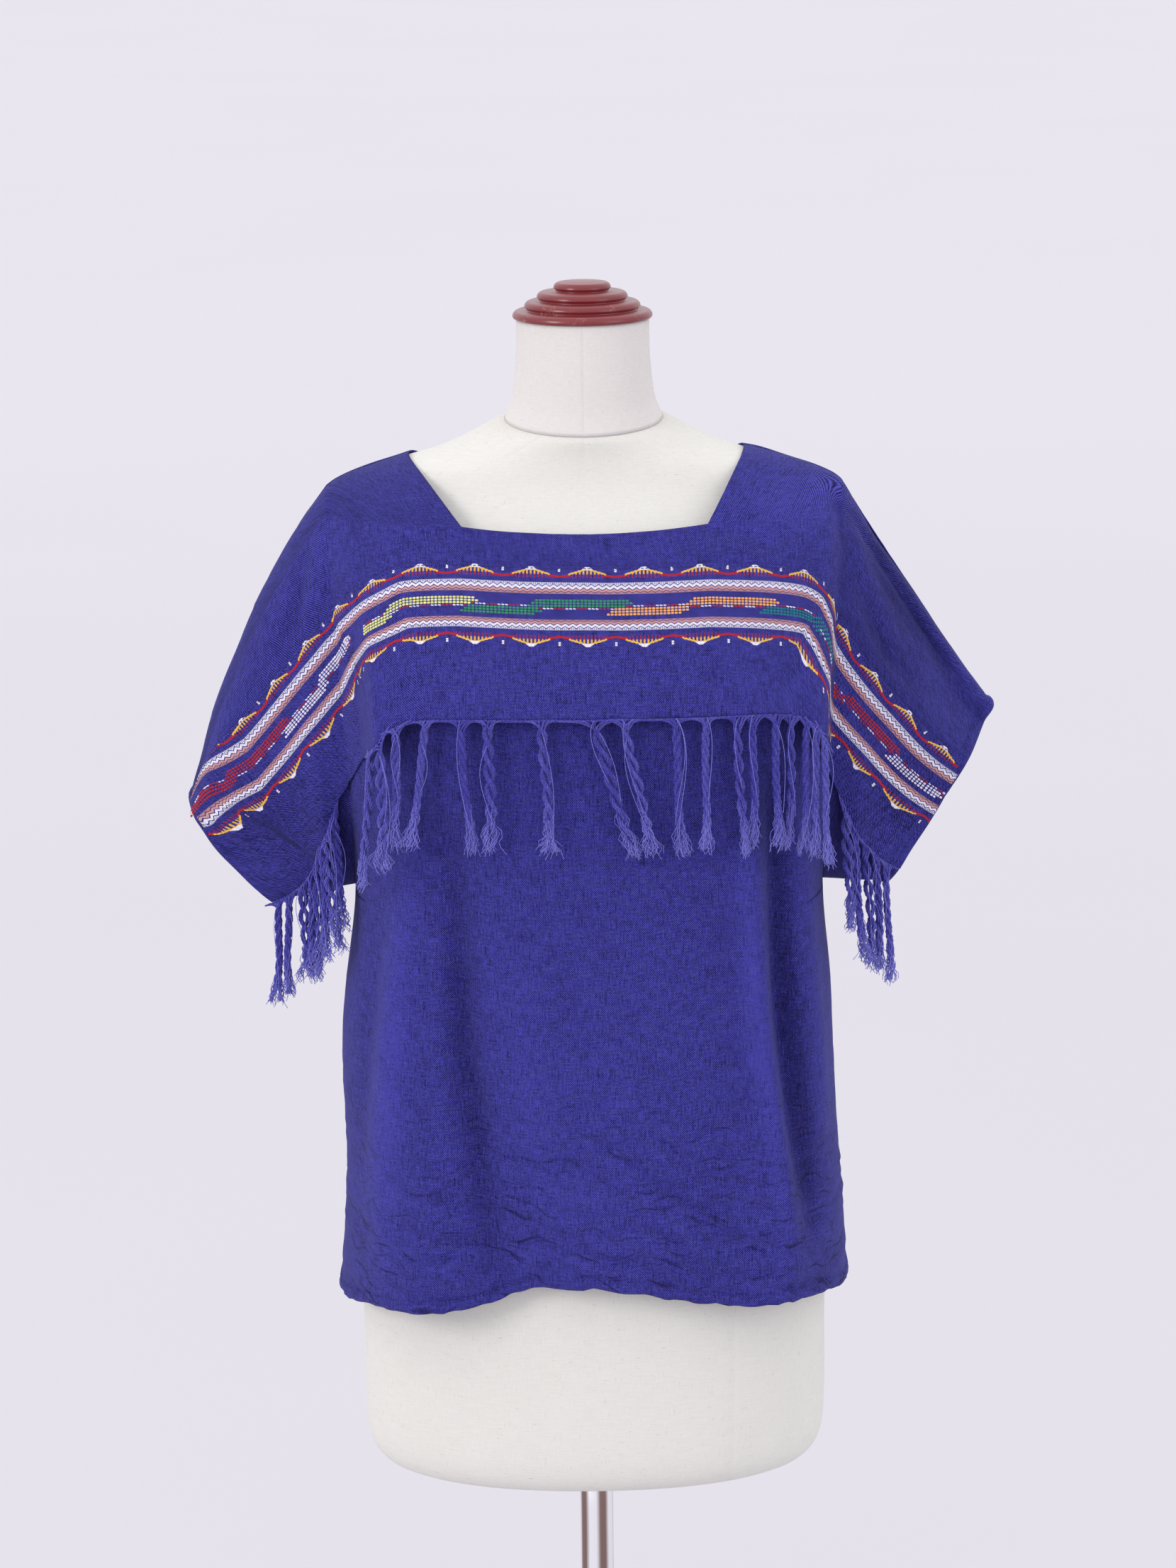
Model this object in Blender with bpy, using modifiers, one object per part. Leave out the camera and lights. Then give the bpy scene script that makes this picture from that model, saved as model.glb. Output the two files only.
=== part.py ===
"""A handwoven cotton pullover top with a square neck, a brocade flounce and a twisted fringe,
worn by a limbless dress form on a steel pole and a round foot.

Metres, +Z up. The origin is on the floor under the pole. The front of the top faces -Y.
"""

import math

import bmesh
import bpy
from mathutils import Vector

FRONT = -1
BACK = 1
LEFT = -1
RIGHT = 1

# Cloth
CLOTH = 0.0015
SEAM_GAP = 0.0003
FORM_CLEARANCE = 0.0012

# Heights of the top
NECKLINE_Z = 1.2535
BACK_NECKLINE_RISE = 0.012
UNDERARM_Z = 0.980
HEM_Z = 0.690
SHOULDER_END_Z = 1.2690

# Neck opening: half its width on the shoulders, its share of the body's width below, and its sag
NECK_HALF_AT_SHOULDER = {LEFT: 0.1255, RIGHT: 0.1180}
NECK_SHARE = 0.471
NECK_SAG = 0.004

# Depth of the sleeve from its top fold to the front and to the back
ARMHOLE_DEPTH = 0.056
CUFF_DEPTH = 0.026

# Dress form: a section at each height. squareness is the superellipse exponent, tilt lifts the back.
FORM_COLUMNS = ("z", "half_width", "front", "back", "squareness", "tilt")
FORM_SECTIONS = (
    (0.5350, 0.1460, 0.086, 0.090, 2.2, 0.00),
    (0.5400, 0.1590, 0.097, 0.101, 2.2, 0.00),
    (0.5520, 0.1680, 0.105, 0.109, 2.2, 0.00),
    (0.5750, 0.1715, 0.108, 0.113, 2.2, 0.00),
    (0.6400, 0.1720, 0.109, 0.115, 2.2, 0.00),
    (0.7200, 0.1710, 0.108, 0.114, 2.2, 0.00),
    (0.8000, 0.1560, 0.100, 0.104, 2.2, 0.00),
    (0.8700, 0.1330, 0.091, 0.088, 2.1, 0.00),
    (0.9400, 0.1200, 0.087, 0.080, 2.1, 0.00),
    (1.0200, 0.1270, 0.099, 0.086, 2.1, 0.00),
    (1.0800, 0.1370, 0.114, 0.092, 2.1, 0.00),
    (1.1250, 0.1440, 0.121, 0.098, 2.1, 0.00),
    (1.1700, 0.1530, 0.113, 0.102, 2.1, 0.00),
    (1.2100, 0.1670, 0.098, 0.101, 2.1, 0.00),
    (1.2400, 0.1790, 0.081, 0.093, 2.1, 0.00),
    (1.2580, 0.1815, 0.066, 0.080, 2.1, 0.00),
    (1.2700, 0.1765, 0.058, 0.069, 2.0, 0.00),
    (1.2786, 0.1650, 0.054, 0.062, 2.0, 0.00),
    (1.2867, 0.1455, 0.052, 0.058, 2.0, 0.00),
    (1.2924, 0.1270, 0.051, 0.055, 2.0, 0.00),
    (1.2962, 0.1110, 0.051, 0.054, 2.0, 0.02),
    (1.3030, 0.0925, 0.051, 0.053, 2.0, 0.06),
    (1.3120, 0.0725, 0.052, 0.054, 2.0, 0.12),
    (1.3190, 0.0570, 0.052, 0.053, 2.0, 0.14),
)
NECK_SECTIONS = (
    (1.3193, 0.0570, 0.0520, 0.0530, 2.0, 0.14),
    (1.3330, 0.0515, 0.0490, 0.0505, 2.0, 0.10),
    (1.3530, 0.0487, 0.0478, 0.0488, 2.0, 0.04),
    (1.3730, 0.0476, 0.0472, 0.0480, 2.0, 0.00),
    (1.3900, 0.0476, 0.0472, 0.0480, 2.0, 0.00),
)
FORM_RING_POINTS = 32
NECK_RING_POINTS = 32

# Neck cap: turned wood, four steps. Radius and height above the neck's top, from the crown outwards.
CAP_STEPS = 20
CAP_Z = 1.3903
CAP_FLANGE_RADIUS = 0.0500
CAP_TIER_RADII = (0.0205, 0.0325, 0.0415, CAP_FLANGE_RADIUS)
CAP_TIER_HEIGHT = 0.0066
CAP_TIER_ROUND_POINTS = 3

# Stand
POLE_RADIUS = 0.0125
POLE_SIDES = 24
FOOT_RADIUS = 0.150
FOOT_EDGE_HEIGHT = 0.008
FOOT_CROWN_HEIGHT = 0.022
FOOT_SOCKET_RADIUS = 0.022
FOOT_STEPS = 32

# Torso of the top: half widths of the side seams on the two sides, and the depths to the front and back.
BODY_COLUMNS = ("z", "left", "right", "front", "back", "squareness")
BODY_SECTIONS = (
    (0.680, 0.1860, 0.1870, 0.1270, 0.1250, 2.7),
    (0.730, 0.1825, 0.1845, 0.1275, 0.1250, 2.7),
    (0.770, 0.1800, 0.1815, 0.1280, 0.1245, 2.7),
    (0.830, 0.1815, 0.1780, 0.1285, 0.1230, 2.7),
    (0.870, 0.1815, 0.1760, 0.1290, 0.1215, 2.7),
    (0.905, 0.1780, 0.1750, 0.1295, 0.1200, 2.7),
    (0.980, 0.1690, 0.1690, 0.1305, 0.1170, 2.7),
    (1.060, 0.1700, 0.1710, 0.1310, 0.1150, 2.8),
    (1.120, 0.1730, 0.1740, 0.1290, 0.1150, 2.9),
    (1.160, 0.1760, 0.1765, 0.1240, 0.1150, 2.9),
    (1.200, 0.1800, 0.1795, 0.1120, 0.1130, 2.9),
    (1.2300, 0.1825, 0.1815, 0.0980, 0.1060, 2.8),
    (1.2535, 0.1840, 0.1830, 0.0840, 0.0960, 2.6),
    (1.3000, 0.1850, 0.1840, 0.0600, 0.0740, 2.4),
)
SHOULDER_ROUNDING = 0.045

# Columns of the body crowd towards the side seams; above the underarm they spread to this angle.
EVEN_ANGLE = 1.25

# Shoulder line between the neck opening and the shoulder's end: the cloth's fold, from the front.
SHOULDER_COLUMNS = ("x", "z")
SHOULDER_LINE = (
    (0.000, 1.3010),
    (0.080, 1.3010),
    (0.119, 1.2955),
    (0.140, 1.2895),
    (0.165, 1.2810),
    (0.178, 1.2750),
    (0.186, SHOULDER_END_Z),
)

# Top fold of each sleeve, from the shoulder's end (share 0) to the cuff (share 1).
SLEEVE_COLUMNS = ("share", "left_x", "left_z", "right_x", "right_z")
SLEEVE_TOP = (
    (0.00, 0.1845, SHOULDER_END_Z, 0.1835, SHOULDER_END_Z),
    (0.12, 0.2025, 1.2450, 0.1985, 1.2450),
    (0.36, 0.2340, 1.1925, 0.2265, 1.2020),
    (0.54, 0.2530, 1.1500, 0.2465, 1.1720),
    (0.72, 0.2700, 1.1085, 0.2660, 1.1420),
    (0.88, 0.2815, 1.0690, 0.2830, 1.1180),
    (1.00, 0.2905, 1.0390, 0.2945, 1.1035),
)
CUFF_LOW_X = {LEFT: 0.2300, RIGHT: 0.2190}
CUFF_LOW_Z = {LEFT: 0.9665, RIGHT: 0.9760}
CUFF_BOW = {LEFT: 0.0060, RIGHT: 0.0000}
SLEEVE_BACKWARD = {LEFT: 0.012, RIGHT: 0.006}

# Soft folds of the hanging body, front and back: where they end at the hem, how far they stand out
# there, how wide they are, how far they lean inwards on the way up, and the height where they fade.
FOLD_COLUMNS = ("face", "hem_x", "depth", "half_width", "lean", "fade_z")
BODY_FOLDS = (
    (FRONT, -0.128, 0.0170, 0.040, -0.006, 1.050),
    (FRONT, -0.052, -0.0060, 0.034, -0.012, 0.960),
    (FRONT, 0.020, 0.0030, 0.045, 0.004, 0.860),
    (FRONT, 0.132, 0.0120, 0.026, 0.026, 1.060),
    (BACK, -0.120, 0.0130, 0.036, 0.020, 1.080),
    (BACK, -0.045, -0.0030, 0.030, 0.000, 0.900),
    (BACK, 0.030, 0.0100, 0.036, 0.006, 1.020),
    (BACK, 0.118, 0.0120, 0.030, -0.020, 1.080),
)
HEM_COLUMNS = ("x", "rise")
HEM_LINE = (
    (-0.190, -0.016),
    (-0.160, -0.006),
    (-0.115, -0.001),
    (-0.085, 0.003),
    (-0.045, 0.014),
    (0.010, 0.015),
    (0.075, 0.004),
    (0.105, 0.000),
    (0.150, -0.002),
    (0.175, -0.006),
    (0.190, -0.014),
)

# Folds along the sleeves: rows where they lie, depth towards the face's side, half width in rows.
SLEEVE_FOLD_COLUMNS = ("side", "face", "row", "depth", "half_width")
SLEEVE_FOLDS = (
    (RIGHT, FRONT, 0.20, -0.0110, 0.085),
    (RIGHT, FRONT, 0.36, 0.0060, 0.080),
    (RIGHT, FRONT, 0.70, -0.0040, 0.090),
    (LEFT, FRONT, 0.24, 0.0050, 0.090),
    (LEFT, FRONT, 0.60, -0.0050, 0.100),
    (LEFT, BACK, 0.45, 0.0050, 0.120),
    (RIGHT, BACK, 0.55, 0.0050, 0.120),
)

# Flounce: its seam and its lower edge, as shares of the way from the shoulder fold to the underarm,
# along the top from the centre (0) over the armhole line (1) to the cuff (2). lift is how far the
# lower edge stands off to the front.
FLOUNCE_COLUMNS = ("station", "seam", "edge", "lift")
FLOUNCE_LEFT = (
    (0.00, 0.138, 0.491, 0.0070),
    (0.30, 0.138, 0.491, 0.0080),
    (0.50, 0.148, 0.500, 0.0130),
    (0.60, 0.174, 0.525, 0.0240),
    (0.66, 0.192, 0.560, 0.0330),
    (0.71, 0.206, 0.590, 0.0180),
    (0.76, 0.220, 0.620, 0.0030),
    (0.85, 0.243, 0.660, 0.0010),
    (1.00, 0.268, 0.705, 0.0020),
    (1.12, 0.268, 0.740, 0.0060),
    (1.24, 0.262, 0.805, 0.0140),
    (1.42, 0.240, 0.885, 0.0070),
    (1.70, 0.150, 0.940, 0.0040),
    (1.88, 0.055, 0.955, 0.0030),
    (2.00, 0.030, 0.960, 0.0030),
)
FLOUNCE_RIGHT = (
    (0.00, 0.138, 0.491, 0.0070),
    (0.30, 0.138, 0.491, 0.0080),
    (0.50, 0.146, 0.495, 0.0100),
    (0.65, 0.176, 0.510, 0.0150),
    (0.76, 0.222, 0.535, 0.0270),
    (0.85, 0.272, 0.565, 0.0370),
    (0.90, 0.305, 0.590, 0.0390),
    (0.95, 0.335, 0.635, 0.0120),
    (1.02, 0.356, 0.690, 0.0015),
    (1.15, 0.348, 0.740, 0.0050),
    (1.32, 0.330, 0.800, 0.0100),
    (1.50, 0.308, 0.840, 0.0060),
    (1.75, 0.275, 0.878, 0.0040),
    (2.00, 0.200, 0.900, 0.0030),
)
FLOUNCE_ROWS = 5
FLOUNCE_END = 1.985

# Fringe: a rolled edge under the flounce, and a lock for each bunch of twisted threads.
EDGE_HEIGHT = 0.0034
EDGE_DEPTH = 0.0026
LOCK_WIDTH = 0.0036
LOCK_END_WIDTH = 0.0052
LOCK_COLUMNS = ("station", "length", "drift", "width")
CHEST_LOCKS = (
    (-0.690, 0.098, -0.004, 1.2),
    (-0.635, 0.092, 0.001, 1.2),
    (-0.560, 0.086, -0.002, 1.2),
    (-0.455, 0.090, -0.012, 1.1),
    (-0.345, 0.093, 0.006, 1.0),
    (-0.270, 0.093, 0.002, 1.2),
    (-0.120, 0.094, 0.006, 1.2),
    (0.005, 0.097, 0.030, 1.1),
    (0.060, 0.096, 0.024, 1.1),
    (0.225, 0.096, 0.004, 1.1),
    (0.310, 0.094, -0.002, 1.0),
    (0.400, 0.098, 0.004, 1.0),
    (0.455, 0.092, 0.000, 1.1),
    (0.535, 0.094, 0.000, 1.1),
    (0.605, 0.092, -0.003, 0.9),
    (0.690, 0.093, -0.003, 1.0),
    (0.760, 0.092, -0.002, 1.0),
    (0.830, 0.092, 0.001, 1.0),
)
LEFT_LOCKS = (
    (-1.900, 0.076, -0.002, 1.0),
    (-1.760, 0.074, -0.002, 1.0),
    (-1.560, 0.070, 0.002, 1.2),
    (-1.440, 0.078, 0.002, 1.2),
    (-1.330, 0.084, 0.002, 1.3),
    (-1.210, 0.086, 0.006, 1.2),
)
RIGHT_LOCKS = (
    (1.190, 0.088, 0.004, 1.2),
    (1.300, 0.096, 0.006, 1.2),
    (1.440, 0.090, 0.004, 1.1),
    (1.600, 0.086, 0.003, 1.2),
    (1.760, 0.088, 0.001, 1.0),
)
LOCK_SEGMENTS = 5
LOCK_FORWARD = 0.0022
CHEST_FRINGE_SPAN = (-0.74, 0.92)
LEFT_FRINGE_SPAN = (-1.97, -1.10)
RIGHT_FRINGE_SPAN = (1.13, 1.97)

# Grid of the front and back: columns from the middle to a cuff, rows down the cloth
NECK_GRID_COLUMNS = 6
CHEST_GRID_COLUMNS = 3
SIDE_GRID_COLUMNS = 9
SIDE_GRID_START = 0.56
SLEEVE_GRID_COLUMNS = 9
UPPER_ROWS = 4
BACK_MIDDLE_ROWS = 7
UNDER_ROWS = 4
LOWER_ROWS = 7


def smooth_value(rows, names, key, column, at):
    """The named column of a table at this value of its key, by a smooth curve through the rows."""
    k = names.index(key)
    c = names.index(column)
    if at <= rows[0][k]:
        return rows[0][c]
    if at >= rows[-1][k]:
        return rows[-1][c]
    i = next(n for n in range(len(rows) - 1) if at <= rows[n + 1][k])

    def slope(n):
        low = max(n - 1, 0)
        high = min(n + 1, len(rows) - 1)
        return (rows[high][c] - rows[low][c]) / (rows[high][k] - rows[low][k])

    width = rows[i + 1][k] - rows[i][k]
    t = (at - rows[i][k]) / width
    ease = t * t * (3 - 2 * t)
    lead = t * (1 - t) ** 2 * slope(i) * width
    tail = t * t * (t - 1) * slope(i + 1) * width
    return rows[i][c] * (1 - ease) + rows[i + 1][c] * ease + lead + tail


def fall_off(distance, half_width):
    """A soft bump that is 1 at no distance and fades to 0 over a few half widths."""
    return math.exp(-((distance / half_width) ** 2))


def superellipse(q, exponent):
    """Height of a unit superellipse above the share q of its half width."""
    return max(0.0, 1 - min(1.0, abs(q)) ** exponent) ** (1 / exponent)


def form_depth(x, z, face):
    """How far the dress form reaches to the front or back at this place; 0 beside it."""
    column = "front" if face == FRONT else "back"
    depth = 0.0
    for _ in range(3):
        tilt = smooth_value(FORM_SECTIONS, FORM_COLUMNS, "z", "tilt", z)
        level = z - tilt * face * depth
        half = smooth_value(FORM_SECTIONS, FORM_COLUMNS, "z", "half_width", level)
        if abs(x) >= half or level > FORM_SECTIONS[-1][0]:
            return 0.0
        exponent = smooth_value(FORM_SECTIONS, FORM_COLUMNS, "z", "squareness", level)
        reach = smooth_value(FORM_SECTIONS, FORM_COLUMNS, "z", column, level)
        depth = reach * superellipse(x / half, exponent)
    return depth


def body_value(column, z):
    return smooth_value(BODY_SECTIONS, BODY_COLUMNS, "z", column, z)


def shoulder_z(x):
    return smooth_value(SHOULDER_LINE, SHOULDER_COLUMNS, "x", "z", abs(x))


def sleeve_top(side, share):
    """Top fold of a sleeve as seen from the front, at this share of the way to the cuff."""
    name = "left" if side == LEFT else "right"
    x = smooth_value(SLEEVE_TOP, SLEEVE_COLUMNS, "share", name + "_x", share)
    z = smooth_value(SLEEVE_TOP, SLEEVE_COLUMNS, "share", name + "_z", share)
    return x, z


def body_folds(face, x, z):
    """How far the soft vertical folds stand out from the hanging cloth."""
    total = 0.0
    for row in BODY_FOLDS:
        fold = dict(zip(FOLD_COLUMNS, row))
        if fold["face"] != face or z > fold["fade_z"]:
            continue
        up = (z - HEM_Z) / (fold["fade_z"] - HEM_Z)
        centre = fold["hem_x"] + fold["lean"] * up
        half_width = fold["half_width"] * (1 - 0.45 * max(0.0, up))
        total += fold["depth"] * (1 - max(0.0, up)) ** 1.3 * fall_off(x - centre, half_width)
    return total


def sleeve_folds(side, face, share, v):
    """How far the folds along a sleeve stand out: nothing at the armhole and at the seams."""
    total = 0.0
    for row in SLEEVE_FOLDS:
        fold = dict(zip(SLEEVE_FOLD_COLUMNS, row))
        if (fold["side"], fold["face"]) == (side, face):
            total += fold["depth"] * fall_off(v - fold["row"], fold["half_width"])
    return total * math.sin(math.pi / 2 * share) ** 0.7 * min(1.0, 6 * v * (1 - v))


def row_share(v):
    """Share of the height that a row v takes, with rows closer at the fold and at the underarm."""
    return (1 - math.cos(math.pi * v)) / 2


def row_of(share):
    """The row whose share of the height is this."""
    return math.acos(1 - 2 * min(1.0, max(0.0, share))) / math.pi


NECKLINE_SHARE = (SHOULDER_END_Z - NECKLINE_Z) / (SHOULDER_END_Z - UNDERARM_Z)
NECKLINE_ROW = row_of(NECKLINE_SHARE)


def torso_point(station, v, face):
    """Inner face of the body. Rows 0 to 1 run from the shoulder to the underarm, 1 to 2 to the hem."""
    side = LEFT if station < 0 else RIGHT
    q = math.sin(math.pi / 2 * min(1.0, abs(station)))
    even = math.sin(EVEN_ANGLE * abs(station)) / math.sin(EVEN_ANGLE)
    q += (even - q) * abs(station) ** 6 * math.sqrt(math.sin(math.pi * min(v, 1.0)))
    share = row_share(min(v, 1.0))
    width_name = "left" if side == LEFT else "right"
    at_shoulder = body_value(width_name, SHOULDER_END_Z)
    neck_q = NECK_SHARE
    if v <= NECKLINE_ROW:
        up = 1 - share / NECKLINE_SHARE
        shoulder_q = NECK_HALF_AT_SHOULDER[side] / at_shoulder
        edge_q = neck_q + (shoulder_q - neck_q) * up
        if q > neck_q - 0.01:
            q = edge_q + (q - neck_q) * (1 - edge_q) / (1 - neck_q)
        top = shoulder_z(q * at_shoulder)
        z = NECKLINE_Z + (top - NECKLINE_Z) * up
        half = body_value(width_name, z)
        below = top - z
    else:
        if v <= 1.0:
            down = (share - NECKLINE_SHARE) / (1 - NECKLINE_SHARE)
            z = NECKLINE_Z + (UNDERARM_Z - NECKLINE_Z) * down
            inside = max(0.0, 1 - (q / neck_q) ** 2) * (1 - down) ** 6
            z += inside * (BACK_NECKLINE_RISE if face == BACK else -NECK_SAG)
        else:
            half = body_value(width_name, HEM_Z)
            rise = smooth_value(HEM_LINE, HEM_COLUMNS, "x", "rise", side * q * half)
            rise = rise if face == FRONT else 0.3 * rise
            z = UNDERARM_Z + (HEM_Z + rise - UNDERARM_Z) * (v - 1)
        half = body_value(width_name, z)
        below = shoulder_z(q * at_shoulder) - z
    x = side * half * q
    arm = ARMHOLE_DEPTH * math.sin(math.pi * min(v, 1.0)) ** 0.8
    rounding = 1 - max(0.0, 1 - below / SHOULDER_ROUNDING) ** 2
    chest = body_value("front" if face == FRONT else "back", z) * math.sqrt(max(0.0, rounding))
    exponent = body_value("squareness", z)
    depth = ((chest * superellipse(q, exponent)) ** 3 + (arm * q**5) ** 3) ** (1 / 3)
    depth += body_folds(face, x, z) * superellipse(q, 6)
    depth = max(depth, form_depth(x, z, face) + FORM_CLEARANCE)
    depth += SEAM_GAP / 2
    if v <= NECKLINE_ROW:
        depth = SEAM_GAP / 2 + (depth - SEAM_GAP / 2) * (1 if v > 0 else 0)
    return Vector((x, face * depth, z))


def sleeve_point(station, v, face):
    """Inner face of a sleeve, from the armhole line (station 1) to the cuff (station 2)."""
    side = LEFT if station < 0 else RIGHT
    share = abs(station) - 1
    down = row_share(v)
    top_x, top_z = sleeve_top(side, share)
    arm_x = body_value("left" if side == LEFT else "right", UNDERARM_Z)
    low_x = arm_x + (CUFF_LOW_X[side] - arm_x) * share
    low_z = UNDERARM_Z + (CUFF_LOW_Z[side] - UNDERARM_Z) * share
    at_armhole = torso_point(side, v, face)
    straight_x = top_x + (low_x - top_x) * down
    z = top_z + (low_z - top_z) * down
    bow = CUFF_BOW[side] * share**1.5 * math.sin(math.pi * down)
    armhole_fix = abs(at_armhole.x) - (sleeve_top(side, 0)[0] + (arm_x - sleeve_top(side, 0)[0]) * down)
    x = straight_x + bow + armhole_fix * (1 - share) ** 2
    z += (at_armhole.z - (SHOULDER_END_Z + (UNDERARM_Z - SHOULDER_END_Z) * down)) * (1 - share)
    depth = ARMHOLE_DEPTH + (CUFF_DEPTH - ARMHOLE_DEPTH) * share
    middle = SLEEVE_BACKWARD[side] * math.sin(math.pi / 2 * share) * (1 - down)
    opened = depth * math.sin(math.pi * v) ** 0.8
    opened += sleeve_folds(side, face, share, v)
    y = middle + face * (max(0.0, opened) + SEAM_GAP / 2)
    return Vector((side * x, y, z))


def cloth_point(station, v, face):
    """Inner face of the front or back, anywhere between the two cuffs."""
    if abs(station) <= 1:
        return torso_point(station, v, face)
    return sleeve_point(station, v, face)


def flounce_value(column, station):
    rows = FLOUNCE_LEFT if station < 0 else FLOUNCE_RIGHT
    return smooth_value(rows, FLOUNCE_COLUMNS, "station", column, abs(station))


def flounce_lift(station, t):
    """How far the flounce stands off to the front. t is 0 at its seam and 1 at its lower edge."""
    return flounce_value("lift", station) * (0.25 * t + 0.75 * t**1.6)


def clear_scene():
    for obj in list(bpy.data.objects):
        bpy.data.objects.remove(obj)


def make_material(name, colour, roughness, metallic=0.0):
    material = bpy.data.materials.new(name)
    material.use_nodes = True
    shader = material.node_tree.nodes["Principled BSDF"]
    shader.inputs["Base Color"].default_value = (*colour, 1)
    shader.inputs["Roughness"].default_value = roughness
    shader.inputs["Metallic"].default_value = metallic
    return material


def add_object(name, mesh, collection, material):
    obj = bpy.data.objects.new(name, mesh)
    obj.data.materials.append(material)
    collection.objects.link(obj)
    return obj


def mesh_of_grid(name, points, cells):
    """An open surface from a dictionary of points by (column, row) and a list of cells."""
    index = {key: n for n, key in enumerate(sorted(points))}
    faces = [
        (index[(i, j)], index[(i + 1, j)], index[(i + 1, j + 1)], index[(i, j + 1)])
        for i, j in cells
    ]
    mesh = bpy.data.meshes.new(name)
    mesh.from_pydata([points[key] for key in sorted(points)], [], faces)
    return mesh


def face_outwards(mesh, direction_of):
    """Turns the faces so that the largest one points to the given side."""
    mesh.update()
    biggest = max(mesh.polygons, key=lambda face: face.area)
    if biggest.normal.dot(direction_of) < 0:
        mesh.flip_normals()
    return mesh


def add_wall(obj, thickness):
    solidify = obj.modifiers.new("wall", "SOLIDIFY")
    solidify.thickness = thickness
    solidify.offset = 1
    solidify.use_even_offset = False


def stations_of_panel():
    """Columns of the front and back, from the left cuff to the right one, and the neck's corner."""
    neck = 2 / math.pi * math.asin(NECK_SHARE)

    def spread(start, end, count):
        return [start + (end - start) * (n + 1) / count for n in range(count)]

    half = spread(0, neck, NECK_GRID_COLUMNS)
    half += spread(neck, SIDE_GRID_START, CHEST_GRID_COLUMNS)
    half += spread(SIDE_GRID_START, 1, SIDE_GRID_COLUMNS)
    half += spread(1, 2, SLEEVE_GRID_COLUMNS)
    return [-s for s in reversed(half)] + [0.0] + half, neck


def rows_of_panel(station, face):
    """Rows of one column. The front has a row along the flounce's seam and one behind its edge."""
    seam = row_of(flounce_value("seam", station))
    edge = row_of(flounce_value("edge", station))
    over = max(0.0, abs(station) - 1)
    upper_end = NECKLINE_ROW + (min(NECKLINE_ROW, 0.7 * seam) - NECKLINE_ROW) * over
    rows = [upper_end * n / UPPER_ROWS for n in range(UPPER_ROWS)]
    if face == FRONT:
        rows.append(upper_end)
        rows += [seam + (edge - seam) * n / FLOUNCE_ROWS for n in range(FLOUNCE_ROWS)]
        rows += [edge + (1 - edge) * n / UNDER_ROWS for n in range(UNDER_ROWS)]
    else:
        rows += [upper_end + (1 - upper_end) * n / BACK_MIDDLE_ROWS for n in range(BACK_MIDDLE_ROWS)]
    rows += [1 + n / LOWER_ROWS for n in range(LOWER_ROWS + 1)]
    return rows


def add_panel(name, face, collection, material):
    """The front or back: one T-shaped cut with sleeves, a square neck and a hem."""
    stations, neck = stations_of_panel()
    rows = [rows_of_panel(station, face) for station in stations]
    cells = []
    for i in range(len(stations) - 1):
        middle = abs(stations[i] + stations[i + 1]) / 2
        for j in range(len(rows[0]) - 1):
            in_neck = middle < neck and j < UPPER_ROWS
            under_sleeve = middle > 1 and j >= len(rows[0]) - 1 - LOWER_ROWS
            if not in_neck and not under_sleeve:
                cells.append((i, j))
    used = {(i + a, j + b) for i, j in cells for a in (0, 1) for b in (0, 1)}
    points = {(i, j): cloth_point(stations[i], rows[i][j], face) for i, j in used}
    mesh = face_outwards(mesh_of_grid(name, points, cells), Vector((0, face, 0)))
    mesh.update()
    normals = {key: mesh.vertices[n].normal.copy() for n, key in enumerate(sorted(points))}
    obj = add_object(name, mesh, collection, material)
    add_wall(obj, CLOTH)
    return stations, points, normals


def add_flounce(stations, panel_points, panel_normals, collection, material):
    """The brocade strip: the front's own points moved out, sewn along its top and free below."""
    first_row = UPPER_ROWS + 1
    points = {}
    for i, station in enumerate(stations):
        for j in range(FLOUNCE_ROWS + 1):
            point = panel_points[(i, first_row + j)]
            normal = panel_normals[(i, first_row + j)]
            lift = flounce_lift(station, j / FLOUNCE_ROWS)
            out = point + normal * (CLOTH + SEAM_GAP) + Vector((0, FRONT * lift, 0))
            points[(i, j)] = out
    for j in range(FLOUNCE_ROWS + 1):
        for end, inner in ((0, 1), (len(stations) - 1, len(stations) - 2)):
            points[(end, j)] = points[(end, j)].lerp(points[(inner, j)], 2 - FLOUNCE_END)
    cells = [(i, j) for i in range(len(stations) - 1) for j in range(FLOUNCE_ROWS)]
    mesh = face_outwards(mesh_of_grid("flounce", points, cells), Vector((0, FRONT, 0)))
    mesh.update()
    normals = {key: mesh.vertices[n].normal.copy() for n, key in enumerate(sorted(points))}
    obj = add_object("flounce", mesh, collection, material)
    add_wall(obj, CLOTH)
    edge = []
    for i, station in enumerate(stations):
        inner = points[(i, FLOUNCE_ROWS)]
        normal = normals[(i, FLOUNCE_ROWS)]
        before = points[(max(i - 1, 0), FLOUNCE_ROWS)]
        after = points[(min(i + 1, len(stations) - 1), FLOUNCE_ROWS)]
        down = normal.cross(after - before).normalized()
        if down.dot(inner - points[(i, 0)]) < 0:
            down.negate()
        edge.append((station, inner, inner + normal * CLOTH, down))
    return edge


def edge_at(edge, station):
    """The flounce's lower edge at this station: its inner and outer corner and the way down."""
    i = next(n for n in range(1, len(edge)) if station <= edge[n][0] or n == len(edge) - 1)
    start, end = edge[i - 1], edge[i]
    t = (station - start[0]) / (end[0] - start[0])
    return [a.lerp(b, t) for a, b in zip(start[1:], end[1:])]


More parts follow.
